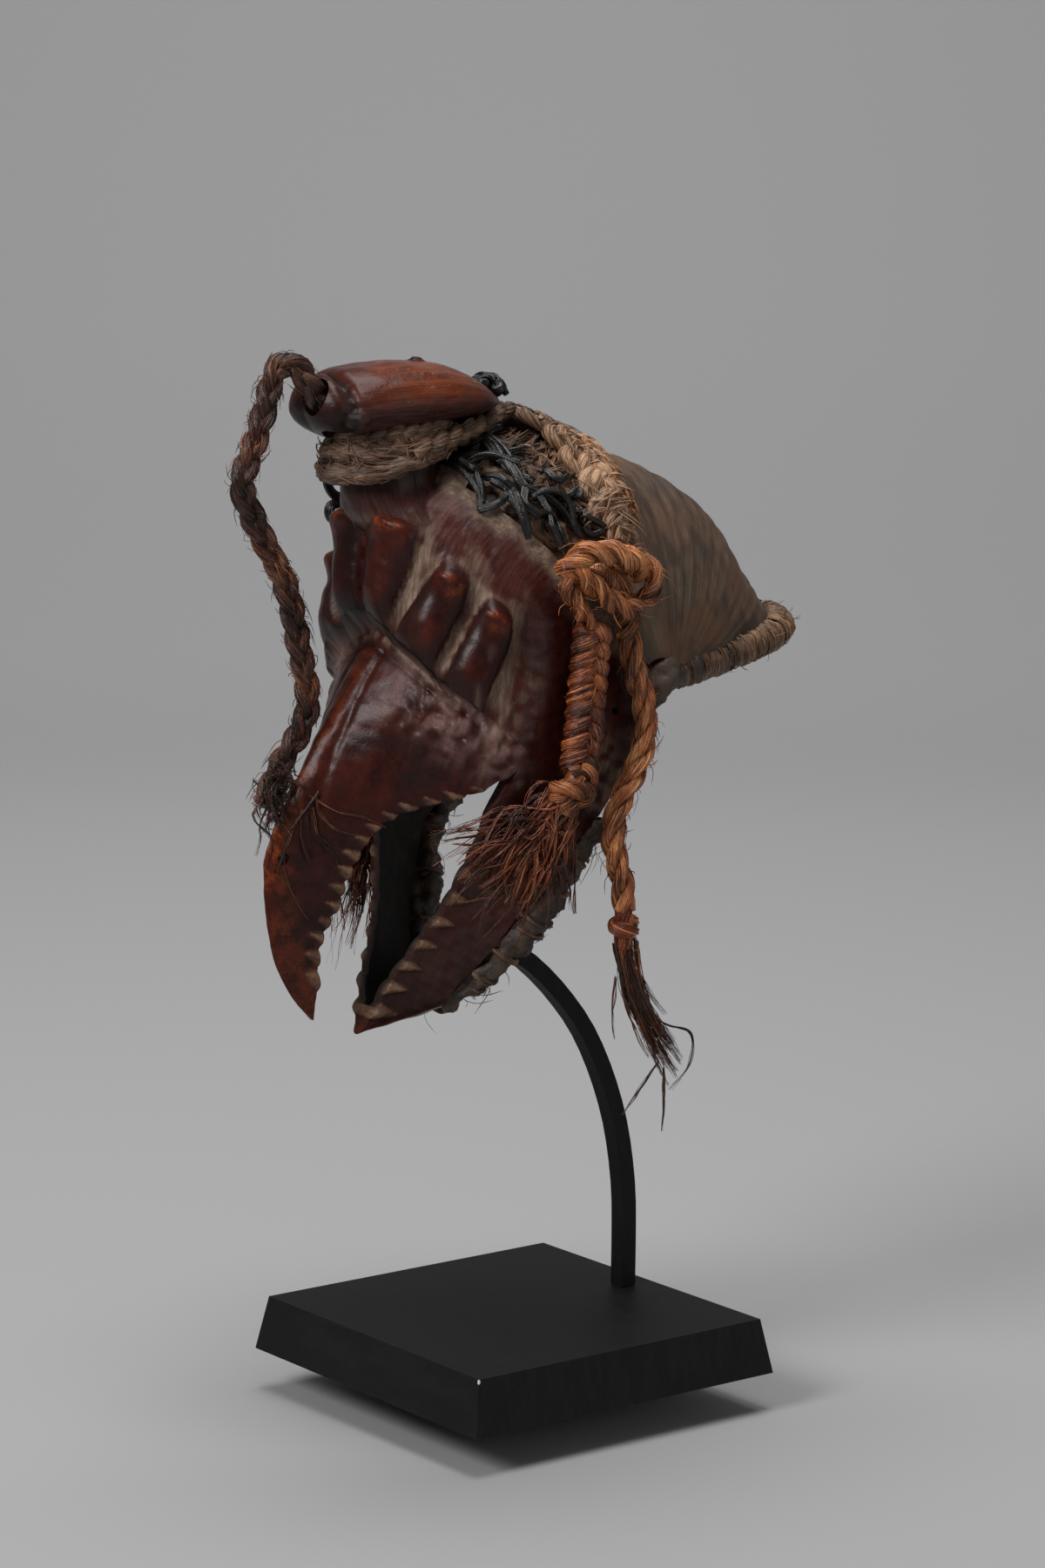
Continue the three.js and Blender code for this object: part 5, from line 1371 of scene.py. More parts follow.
def rim_line(step):
    """The rim's middle line, round the hood's open edge."""
    angle = math.radians(RIM_ANGLE)
    around = np.linspace(-1.56, 1.56, 60)
    radius = RIM_REACH * np.maximum(np.cos(around), 0) ** 0.85
    x = RIM_HALF_WIDTH * np.sign(np.sin(around)) * np.abs(np.sin(around)) ** 0.85
    points = np.stack([x, HOOD_PIVOT_Y + radius * math.cos(angle),
                       HOOD_PIVOT_Z + RIM_LIFT + radius * math.sin(angle)], 1)
    return route(points, step)


RIM_SLEEVES = [(0.02, 0.085, 1.0), (0.105, 0.15, 0.7), (0.19, 0.215, 0.9), (0.27, 0.30, 0.7),
               (0.40, 0.44, 0.8), (0.56, 0.60, 0.7), (0.72, 0.76, 0.8), (0.845, 0.89, 0.7),
               (0.915, 0.98, 1.0)]
RIM_FOLD = [(60, 58, 389), (63, 49, 383), (65.5, 42, 377), (66, 35, 369), (66, 29, 360), (66, 25, 350)]


def rim():
    """A fibre-wound roll with sleeves of hide (each: start, stop, height), and its ends folded down."""
    line = rim_line(0.42)
    share = np.linspace(0, 1, len(line))
    radii = RIM_RADIUS + smooth(0.6, 0.95, np.abs(2 * share - 1)) + 0.35 * ripple(line, 26, 71) - 0.7
    core = rolled("rim_core", line[::4], radii[::4] - 0.5 + 0.6 * ripple(line[::4], 17, 75), RIM_WRAP, 72,
                  columns=30, lumps=1.5, wound=True)
    rng = np.random.default_rng(73)
    wraps = fibres("rim_wraps", [(line[::2], radii[::2] + 0.1)], RIM_WRAP, Fibres=7, Turns=95.0, Core=False,
                   Seed=5, Fibre_radius=0.5, Wobble=0.9, Inner_share=0.97, Wobble_scale=70.0,
                   Thin_ends=0.02)
    parts = [core, wraps]
    for k, (start, stop, more) in enumerate(RIM_SLEEVES):
        i, j = int(start * len(line)), int(stop * len(line))
        parts.append(rolled("rim_hide", line[i:j:3], radii[i:j:3] + more, LEATHER, 80 + k, columns=26,
                            lumps=1.3))
    for side in (-1, 1):
        fold = route(sided(RIM_FOLD, side), 1.6)
        size = np.interp(np.linspace(0, 1, len(fold)), (0, 0.25, 0.5, 0.8, 1), (8.5, 10.2, 8.6, 6.2, 4))
        parts.append(rolled("rim_fold", fold, size, LEATHER, 90, columns=30, lumps=2.6))
    hairs = []
    for _ in range(90):
        i = rng.integers(10, len(line) - 60)
        tangent = unit(line[min(i + 8, len(line) - 1)] - line[i])
        out = away_from(tangent, rng)
        start = line[i] + out * radii[i]
        reach = rng.uniform(2.5, 7)
        lean = rng.uniform(-1, 1)
        hairs.append((route([start - out * 0.8, start + (out + tangent * lean) * reach * 0.5,
                             start + (out * 0.8 + tangent * lean * 1.6) * reach], 1.5), 0.12))
    hair = single_hairs("rim_hairs", hairs, RIM_WRAP, 9, 0.1)
    piece = join("mask_hood_rim", [*parts, hair])
    settle(piece, "wrapped_fibre", "hood_rim")


def away_from(tangent, rng):
    """A random direction square to a line."""
    out = rng.normal(size=3)
    return unit(out - tangent * (out @ tangent))


def plait_paths(line, side, cross, radii, widths, depths, period, start=0.0):
    """Three strands of a flat plait about a line; radii, widths and depths may change along it."""
    at = distances(line)
    paths = []
    for k in range(3):
        angle = 2 * math.pi * (at / period + k / 3) + start
        points = line + side * (widths * np.sin(angle))[:, None]
        points = points + cross * (depths * np.sin(2 * angle))[:, None]
        paths.append((points, radii))
    return paths


def twist_paths(line, strands, offset, radius, pitch, start=0.0):
    """Strands laid round a line like a rope's."""
    at = distances(line)
    _, side, cross = frames(line)
    paths = []
    for k in range(strands):
        angle = 2 * math.pi * (at / pitch + k / strands) + start
        paths.append((line + offset * on_circle(angle, side, cross), radius))
    return paths


PLAIT_LIFT = 5.2


def seam_plait():
    """The wide plait over the seam: flat strands crossing each other on the hood's skin."""
    around = np.linspace(-1.02, 1.02, 100)
    crown = 1 - smooth(0.1, 0.55, np.abs(around))
    turn = 106.5 + 11 * np.sin(around) ** 4
    low = on_hood(turn, around, PLAIT_LIFT)
    across = unit(on_hood(turn + 1, around, PLAIT_LIFT) - low)
    up = unit(on_hood(turn, around, PLAIT_LIFT + 1) - low)
    middle = low + up * (2.45 * crown)[:, None]
    taper = 0.72 + 0.28 * smooth(0, 0.12, 1 - np.abs(around) / 1.02)
    across = across + up * (0.36 * crown)[:, None]
    wide = 1 + 0.10 * np.sin(17 * around) + 0.06 * np.sin(41 * around + 1)
    paths = plait_paths(middle, across, up, 3.5 * taper, (7.0 * taper + 1.5 * crown) * wide, 2.0, 33.0)
    paths += plait_paths(middle - up * 0.4, across, up, 3.4 * taper, (12.4 * taper + 3.2 * crown) * wide,
                         1.3, 47.0, 1.1)
    paths += plait_paths(middle - across * 5.5 * wide[:, None], across, up, 3.0 * taper, 6.4 * taper, 1.6,
                         27.0, 2.3)
    body = fibres("plait_body", paths, DUSTY_PLAIT, Fibres=7, Turns=24.0, Seed=11, Fibre_radius=0.42,
                  Wobble=0.9, Inner_share=0.88, Core_share=0.97, Wobble_scale=120.0)
    loose = []
    rng = np.random.default_rng(12)
    for k in range(215):
        i = rng.integers(2, 98)
        if k > 118:
            first = (turn[i] + rng.uniform(5, 13), around[i], rng.uniform(1, 4))
            loose.append((route(over_hood(strayed(first, 2.2, 0.07, 2, 6, rng), 1), 3.0), 0.9))
            continue
        start = middle[i] + across[i] * rng.uniform(-15, 15) + up[i] * rng.uniform(1.5, 4.5)
        j = int(np.clip(i + rng.integers(-7, 8), 0, 99))
        end = middle[j] + across[j] * rng.uniform(-16, 16) + up[j] * rng.uniform(3, 6.5)
        hump = (start + end) / 2 + up[i] * rng.uniform(0.5, 2.2)
        loose.append((route([start, hump, end], 3.0), 0.5))
    tangle = fibres("plait_loose", loose, DUSTY_PLAIT, Fibres=3, Turns=20.0, Core=False, Seed=13,
                    Fibre_radius=0.3, Wobble=0.5, Inner_share=0.0)
    bright = []
    for _ in range(90):
        i = rng.integers(62, 93)
        j = int(np.clip(i + rng.integers(-6, 7), 60, 96))
        start = middle[i] - across[i] * rng.uniform(4, 14) + up[i] * rng.uniform(1.0, 3.6)
        end = middle[j] - across[j] * rng.uniform(3, 15) + up[j] * rng.uniform(2.4, 4.6)
        bright.append((route([start, (start + end) / 2 + up[i] * rng.uniform(0.5, 1.8), end], 3.0), 0.6))
    rusty = fibres("plait_rusty", bright, RUSTY_PLAIT, Fibres=4, Turns=20.0, Core=False, Seed=14,
                   Fibre_radius=0.33, Wobble=0.6, Inner_share=0.1)
    piece = join("mask_seam_plait", [body, tangle, rusty])
    settle(piece, "plaited_fibre", "seam_plait")


COLLAR_TAIL = [(27, -92, 497), (25.5, -74, 501), (20, -56, 505), (13, -38, 508), (5, -24, 511),
               (1, -12, 513)]


def crest_collar():
    """A felted band round the crest's neck: two rolls of fibre, the upper one against the crest."""
    angle = np.linspace(-math.pi, math.pi, 104)
    rear = (1 - np.cos(angle)) / 2
    line = np.stack([27.9 * np.sin(angle), -86 - 33.2 * np.cos(angle), 490.5 + 14.5 * rear**1.15], 1)
    out = unit(np.stack([np.sin(angle) / 27.9, -np.cos(angle) / 33.2, 0 * angle], 1))
    up = np.broadcast_to((0.0, 0.0, 1.0), out.shape)
    half = 9.5 - 5.4 * rear**0.8
    low = line - up * (0.42 * half)[:, None] + out * 0.6
    high = line + up * (0.62 * half)[:, None] - out * 0.8
    rolls, paths = [], []
    for k, (ring, size) in enumerate(((low, 0.58 * half), (high, 0.62 * half))):
        radii = size * (1 + 0.10 * ripple(ring, 12, 25 + k))
        rolls.append(rolled("collar_roll", ring, radii, BROWN_PLAIT, 26 + k, columns=26, lumps=1.5))
        paths.append((ring, radii + 0.2))
    upper = np.stack([25.5 * np.sin(angle), -86.5 - 29.5 * np.cos(angle), 503 + 8 * rear], 1)
    paths.append((upper, 3.6))
    felt = fibres("collar_felt", paths, BROWN_PLAIT, Fibres=14, Turns=11.0, Core=False, Seed=21,
                  Fibre_radius=0.5, Wobble=1.3, Inner_share=0.9, Wobble_scale=110.0, Thin_ends=0.01)
    paths = plait_paths(upper, up, out, 3.4, 3.0, 1.4, length_of(upper) / 7, 0.8)
    for side in (-1, 1):
        tail = route(sided(COLLAR_TAIL, side), 2.4)
        _, flat, deep = frames(tail, (side * 0.8, 0, 0.6))
        paths += plait_paths(tail, flat, deep, 4.0, 4.6, 1.6, 34.0, 0.5)
    top = fibres("collar_top", paths, BROWN_PLAIT, Fibres=5, Turns=26.0, Seed=24, Fibre_radius=0.4,
                 Wobble=1.1, Inner_share=0.85, Core_share=0.95, Thin_ends=0.02)
    rng = np.random.default_rng(22)
    loose = []
    for _ in range(122):
        i = rng.integers(0, 103)
        j = (i + rng.integers(-9, 10)) % 103
        start = line[i] + up[i] * rng.uniform(-1, 1) * half[i] * 0.9 + out[i] * rng.uniform(1.5, 4.2)
        end = line[j] + up[j] * rng.uniform(-1.1, 1.7) * half[j] + out[j] * rng.uniform(2.5, 5.8)
        loose.append((route([start, (start + end) / 2 + out[i] * rng.uniform(0.4, 1.8), end], 2.8), 0.45))
    tangle = fibres("collar_loose", loose, BROWN_PLAIT, Fibres=3, Turns=20.0, Core=False, Seed=23,
                    Fibre_radius=0.28, Wobble=0.4, Inner_share=0.0)
    piece = join("mask_crest_collar", [*rolls, felt, top, tangle])
    settle(piece, "plaited_fibre", "crest_collar")


hood()
rim()
seam_plait()
crest_collar()


# Ropes and braids. The left side's are nearest in the photograph; the right side's mirror them.
LEFT_CORD_ROUTE = [(78.5, 9, 404), (78.5, 11.5, 394), (78.5, 15, 382), (79, 19.5, 370), (79, 21.5, 357),
                   (79, 20, 344), (79, 14, 331), (79, 5.5, 318), (79, 1, 305), (79, 2, 292), (79, 5.5, 280),
                   (79, 8.5, 269), (79, 8.5, 260)]
RIGHT_CORD_ROUTE = [
    (-78.5, 9, 404), (-78.5, 11, 394), (-78.5, 13, 382), (-79, 15.5, 370), (-79, 15.5, 357), (-79, 12, 344),
    (-79, 5, 331), (-79, -1.5, 318), (-79, -5, 305), (-79, -5, 292), (-79, -3.5, 280), (-79, -2, 269),
    (-79, -2, 260)]
BRAID_ROUTE = [(81.5, -16.5, 410), (81.5, -17.5, 400), (81.5, -19, 385), (81.5, -20.5, 370),
               (81.5, -22, 355), (81.5, -24, 342), (81.5, -25.5, 335)]
ROPE_FIBRE = {"Fibre_radius": 0.3, "Wobble": 0.3, "Inner_share": 0.93, "Core_share": 0.96,
              "Thin_ends": 0.01}


def on_beak(down, forward, lift):
    """Points just off the beak's near side."""
    v = np.linspace(0, FRONT_SHARE, 60)
    points = []
    for row, ahead in zip(down, forward):
        x, here = section(row, v, True)
        points.append(seat(float(np.interp(ahead, here[::-1], x[::-1])) + lift, ahead, row))
    return np.array(points)


def fuzz(line, radius, count, reach, seed):
    """Short stray hairs that stand off a line."""
    rng = np.random.default_rng(seed)
    hairs = []
    for _ in range(count):
        i = rng.integers(1, len(line) - 2)
        tangent = unit(line[i + 1] - line[i - 1])
        out = away_from(tangent, rng)
        long = rng.uniform(0.4, 1) * reach
        lean = rng.uniform(-1.3, 1.3)
        start = line[i] + out * radius * 0.8
        hairs.append((route([start, start + (out + tangent * lean) * long * 0.5,
                             start + (out * 0.7 + tangent * lean * 1.5) * long + (0, 0, -0.2 * long)], 1.5),
                      0.1))
    return hairs


FRAY_ENDS = [(0, -141, 347), (-2, -150, 334), (-3, -160, 322), (-2, -164, 309), (4, -160, 296),
             (12, -146, 318), (14, -150, 306), (-6, -166, 300), (-4, -168, 284), (8, -152, 330)]
# Single frays that lie on the beak: down and forward
FRAYS_ON_BEAK = [
    [(168, 36), (181, 35), (197, 33), (210, 23), (218, 8), (222, -8)],
    [(170, 36), (176, 30), (178, 20), (174, 8)], [(176, 34), (184, 26), (192, 14)],
    [(180, 36), (190, 34), (203, 30), (214, 26)], [(172, 38), (171, 26), (166, 14), (163, 2)],
    [(178, 32), (186, 22), (188, 10), (196, 2)], [(184, 34), (192, 28), (199, 17)]]


def front_rope():
    """The dark plait from the crest to the beak, and the frays that fan out over the beak."""
    line = route(FRONT_ROPE_ROUTE, 2.2)
    share = np.linspace(0, 1, len(line))
    thin = 1 - 0.25 * smooth(0.9, 1.0, share)
    _, flat, cross = frames(line, (0.4, 0.9, 0))
    paths = plait_paths(line, flat, cross, 3.3 * thin, 3.5, 1.7, 41.0)
    body = fibres("front_rope_body", paths, DARK_RAFFIA, Fibres=17, Turns=-14.0, Seed=31, **ROPE_FIBRE)
    settle(body, "dark_raffia", "front_rope")
    hairs = single_hairs("front_rope_hairs", fuzz(line, 6.0, 420, 6.5, 32), DARK_RAFFIA, 33, 0.15)
    ends = curly_paths((-5, -153, 333), (3, 4, 5), FRAY_ENDS, 44, 34, swing=(2.5, 4.0, 5.0))
    for spots in FRAYS_ON_BEAK:
        down, forward = np.array(spots, float).T
        ends.append((route(on_beak(down, forward, 1.0), 2.5), 0.3))
    frays = fibres("front_rope_frays", ends, DARK_RAFFIA, Fibres=5, Turns=12.0, Core=False, Seed=35,
                   Fibre_radius=0.22, Wobble=0.9, Inner_share=0.0)
    loose = join("front_rope_fibres", [hairs, frays])
    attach(loose, "root")


def curly_paths(root, size, ends, count, seed, swing=(2.0, 4.0, 5.0)):
    """Wiry clumps that wander from a root towards points spread between the given ends."""
    rng = np.random.default_rng(seed)
    ends = np.array(ends, float)
    paths = []
    for _ in range(count):
        end = rng.dirichlet(np.full(len(ends), 0.3)) @ ends + rng.normal(size=3) * (1.5, 4, 4)
        start = np.array(root) + rng.normal(size=3) * size
        line = [start]
        for u in (0.25, 0.5, 0.75):
            hump = (0, 0, 7 * math.sin(math.pi * u) * rng.uniform(-0.8, 1.0))
            line.append(start * (1 - u) + end * u + rng.normal(size=3) * swing + hump)
        line.append(end)
        paths.append((route(line, 4.0), rng.uniform(0.4, 1.2)))
    return paths


def tassel_paths(root, size, ends, count, seed, droop=0.5, jitter=(1.5, 4, 4)):
    """Clumps that leave a root and reach points spread between the given ends."""
    rng = np.random.default_rng(seed)
    ends = np.array(ends, float)
    paths = []
    for _ in range(count):
        weight = rng.dirichlet(np.full(len(ends), 0.3))
        end = weight @ ends + rng.normal(size=3) * jitter
        start = np.array(root) + rng.normal(size=3) * size
        middle = start * 0.45 + end * 0.55
        middle[2] += droop * np.linalg.norm((end - start)[:2]) * rng.uniform(0.2, 0.6)
        middle += rng.normal(size=3) * 1.6
        paths.append((route([start, middle, end], 4.4), rng.uniform(0.9, 1.7)))
    return paths


# The raffia bundles looped over each other in the knot on the seam, with their radii
KNOT_LOOPS = [
    ([(80, -30, 436), (84, -36, 441), (87.5, -33, 446), (89, -24, 449), (89.5, -12, 448), (89, 0, 444),
      (86, 9, 440), (81, 13, 436)], 6.4),
    ([(83, -34, 444), (87.5, -35, 441), (89.5, -28, 437), (90, -21, 430), (90, -12, 423.5), (89.5, -2, 419),
      (87, 6, 419), (82, 11, 421)], 5.6),
    ([(80, 2, 446), (84, 10, 443), (87, 17, 437), (88, 19, 430), (86, 16, 423), (82, 9, 419), (79, 2, 420)],
     5.4), ([(82, -31, 443), (85, -35, 434), (85, -33, 426), (83.5, -26, 419), (82, -19, 411)], 4.6),
    ([(80, -12, 440), (83, -8, 432), (81, 2, 420), (79, 8, 410), (78.5, 9, 402)], 6.2),
    ([(78, -24, 432), (78.5, -10, 434), (79, 6, 431)], 7.5)]


def side_knot(side, tag):
    """The knot that carries the ropes of one side."""
    bundles = [(route(sided(points, side), 2.2), radius) for points, radius in KNOT_LOOPS]
    strands = [bundles[-1]]
    for k, (line, radius) in enumerate(bundles[:-1]):
        strands += twist_paths(line, 2, 0.5 * radius, 0.56 * radius, 30.0, 1.3 * k)
    knot = fibres(tag + "_knot_body", strands, RAFFIA, Fibres=17, Turns=20.0, Seed=41, Fibre_radius=0.36,
                  Wobble=0.6, Inner_share=0.95, Core_share=0.97, Thin_ends=0.02)
    strays = []
    for k, (line, radius) in enumerate(bundles):
        strays += fuzz(line, radius, 30, 9, 42 + k)
    strays = single_hairs(tag + "_knot_hairs", strays, RAFFIA, 44, 0.2)
    settle(join(tag + "_knot_fibres", [knot, strays]), "raffia", tag + "_knot")


def side_braid(side, tag):
    """The thick braid: three strands with a herringbone of fibres."""
    line = route(sided(BRAID_ROUTE, side), 1.6)
    _, flat, cross = frames(line, (0, 1, 0.08))
    braid = fibres(tag + "_braid_body", plait_paths(line, flat, cross, 5.0, 6.4, 2.6, 25.0), RUST_RAFFIA,
                   Fibres=24, Turns=26.0, Seed=45, **ROPE_FIBRE)
    hairs = single_hairs(tag + "_braid_hairs", fuzz(line, 8.0, 60, 6, 46), RUST_RAFFIA, 47, 0.15)
    settle(join(tag + "_braid_fibres", [braid, hairs]), "raffia", tag + "_braid")


# How far the braid's frayed end spreads
NEAR_TASSEL_ENDS = [(60, -106, 314), (59, -102, 304), (61, -95, 294), (64, -79, 284), (68, -66, 264),
                    (73, -56, 252), (78, -43, 255), (82, -28, 262), (83, -14, 277), (84, -20, 300),
                    (76, -58, 306)]
FAR_TASSEL_ENDS = [(60, -70, 296), (58, -75, 262), (62, -72, 230), (68, -60, 226), (76, -46, 240),
                   (80, -38, 258), (82, -30, 280)]


def braid_end(side, tag):
    """The braid's knot, a bundle wound round it, and its frayed end."""
    knot_line = []
    for t in np.linspace(0, 1, 40):
        a = 2 * math.pi * 1.6 * t
        knot_line.append((81.5 + 5.6 * math.cos(a), -28 + 9.5 * math.sin(a) - 3 * t,
                          333 - 13 * t + 3 * math.cos(a)))
    middle_line = [(81, -22, 340), (83, -27, 332), (80, -34, 315)]
    wound = twist_paths(route(sided(knot_line, side), 1.8), 2, 2.7, 3.0, 28.0)
    wound.append((route(sided(middle_line, side), 1.8), 6.0))
    knot = fibres(tag + "_braid_knot_body", wound, RAFFIA, Fibres=26, Turns=20.0, Seed=48, **ROPE_FIBRE)
    settle(knot, "raffia", tag + "_braid_knot")
    ends, count = (NEAR_TASSEL_ENDS, 108) if side > 0 else (FAR_TASSEL_ENDS, 48)
    clumps = curly_paths((80, -32, 320), (3.0, 6, 5), ends, count, 49)
    tassel = fibres(tag + "_braid_tassel_fibres", [(p * (side, 1, 1), r) for p, r in clumps], RUST_RAFFIA,
                    Fibres=5, Turns=9.0, Core=False, Seed=50, Fibre_radius=0.32, Wobble=1.1,
                    Inner_share=0.1, Wobble_scale=45.0, Thin_ends=0.15)
    wild = []
    rng = np.random.default_rng(56)
    for p, _ in clumps[:60]:
        start = p[rng.integers(0, len(p) // 2)]
        end = p[-1] + (p[-1] - p[0]) * rng.uniform(0.02, 0.3) + rng.normal(size=3) * (2, 6, 5)
        bend = (start + end) / 2 + rng.normal(size=3) * (2, 5, 6)
        wild.append((route(np.array([start, bend, end]) * (side, 1, 1), 2.5), 0.3))
    single = fibres(tag + "_braid_tassel_hairs", wild, RUST_RAFFIA, Fibres=2, Turns=0.0, Core=False,
                    Seed=57, Fibre_radius=0.24, Wobble=1.5, Inner_share=0.2, Wobble_scale=60.0)
    settle(join(tag + "_braid_tassel_all", [tassel, single]), "raffia", tag + "_braid_tassel")


# Stray hairs of the near cord's tassel
CORD_STRAYS = [[(79, 22, 205), (80, 38, 196), (80, 55, 188), (79, 55, 172), (79, 42, 160)],
               [(79, 34, 176), (78, 24, 165), (77, 12, 150)], [(79, 38, 172), (79, 38, 155), (79, 37, 138)],
               [(79, 4, 225), (79, 2, 205), (79, 4, 192)]]


def side_cord(side, tag, cord_route):
    """The long cord, its knot and its dark tassel."""
    line = route(cord_route, 2.0)
    cord = fibres(tag + "_cord_body", twist_paths(line, 3, 3.3, 3.2, 44), RAFFIA,
                  Fibres=19 if side > 0 else 15, Turns=-13.0, Seed=51, **ROPE_FIBRE)
    settle(cord, "raffia", tag + "_cord")
    end = np.array(cord_route[-1], float)
    knot_line = []
    for t in np.linspace(0, 1, 36):
        a = 2 * math.pi * 1.5 * t
        knot_line.append((side * (79 + 4.2 * math.cos(a)), end[1] + 4.2 * math.sin(a), 254.5 - 7 * t))
    wound = [(route(knot_line, 1.3), 4.0),
             (route([end + (0, 0, 2), end + (0, 0, -8), end + (0, 1, -20)], 1.3), 4.6)]
    cord_knot = fibres(tag + "_cord_knot_body", wound, RUST_RAFFIA, Fibres=40, Turns=14.0, Seed=52,
                       **ROPE_FIBRE)
    settle(cord_knot, "raffia", tag + "_cord_knot")
    low = 0 if side > 0 else 20
    reach = [(79, end[1] + 33, 168 + low), (84, end[1] + 28, 185 + low), (73, end[1] + 24, 182 + low),
             (79, end[1] + 20, 195 + low), (82, end[1] + 38, 176 + low)]
    clumps = tassel_paths((79, end[1] + 1, 244), (2, 2, 1.5), reach, 44, 53, droop=0.0,
                          jitter=(2.5, 3.0, 6))
    for i, (p, r) in enumerate(clumps):
        belly = np.sin(math.pi * np.linspace(0, 1, len(p)))[:, None] * (0, -6, 0)
        clumps[i] = (p * (side, 1, 1) + belly, r)
    if side > 0:
        clumps += [(route(p, 2.2), 0.25) for p in CORD_STRAYS]
    stray = single_hairs(tag + "_cord_hairs", fuzz(line[:-8], 5.8, 150, 8, 58), RUST_RAFFIA, 58, 0.2)
    tassel = fibres(tag + "_cord_tassel_clumps", clumps, DARK_RAFFIA, Fibres=7, Turns=6.0, Core=False,
                    Seed=54, Fibre_radius=0.28, Wobble=0.9, Inner_share=0.2, Thin_ends=0.5)
    tassel = join(tag + "_cord_tassel_fibres", [tassel, stray])
    settle(tassel, "raffia", tag + "_cord_tassel")


front_rope()
for side, tag, cord_route in ((1, "left", LEFT_CORD_ROUTE), (-1, "right", RIGHT_CORD_ROUTE)):
    side_knot(side, tag)
    side_braid(side, tag)
    braid_end(side, tag)
    side_cord(side, tag, cord_route)


# Vines that lace the hood to the carving: each a line of [turn, way round, lift] on the hood
FIRST_ARC = [(134.3, 0.02, 14), (132, 0.03, 15), (131, 0.06, 15.5), (131, 0.21, 15.5), (132.8, 0.36, 15.5),
             (134.3, 0.42, 14.5), (136.6, 0.46, 11.5)]
SECOND_ARC = [(131.7, 0.37, 9), (130, 0.39, 11), (129.5, 0.46, 13), (131.5, 0.6, 14.5), (133.5, 0.67, 14),
              (135.5, 0.74, 10.5)]
THIRD_ARC = [(127.4, 0.57, 9), (128, 0.63, 11), (129.7, 0.75, 12.5), (131, 0.83, 12.5), (133.2, 0.92, 9.5)]
FOURTH_ARC = [(127.9, 0.63, 9), (125.2, 0.64, 10.5), (122.2, 0.7, 11), (122.2, 0.77, 10.5),
              (125, 0.87, 8.5)]
SEAM_VINE = [(124, 0.26, 8), (125.8, 0.44, 10), (127.4, 0.57, 9), (125, 0.68, 8), (124, 0.8, 8),
             (125, 0.92, 7)]
CREST_VINES = [[(126.3, 0.06, 8), (124.5, 0.12, 11), (122.8, 0.14, 12), (122.7, 0.24, 10), (124, 0.39, 9)],
               [(117.5, 0.12, 12.5), (119.5, 0.10, 12), (122, 0.11, 10), (124.2, 0.25, 11),
                (125.5, 0.36, 9)]]
CROSS_VINES = [[(130.2, 0.52, 8), (133.6, 0.53, 11), (136.8, 0.5, 13), (138.5, 0.47, 10)],
               [(131.5, 0.2, 9), (128, 0.24, 12), (125.5, 0.3, 11), (123.5, 0.42, 9)]]
# Vines doubled by a thinner one: the arc and its shift
SECOND_TURNS = [(FIRST_ARC, (1.6, 0.015, -0.6)), (SECOND_ARC, (1.4, 0.02, -1)),
                (THIRD_ARC, (-1.3, 0.02, -1.5))]
# Strips of hide under the vines: turn on the hood and radius
HIDE_STRIPS = [(121.5, 3.6), (126.5, 4.2), (131, 3.4)]
FAR_LOOPS = [[(-36, -62, 480), (-38, -76, 482), (-40, -87, 482), (-42, -95.2, 480.2), (-42, -95.7, 476.6),
              (-41, -91.2, 470.5), (-40, -85.1, 469.3), (-38, -74, 467)],
             [(-38, -73, 467.5), (-40, -85.1, 467), (-42, -92.9, 464.9), (-42, -93.4, 460.2),
              (-41, -90.1, 456.8), (-40, -84, 457.5), (-38, -72, 459)]]


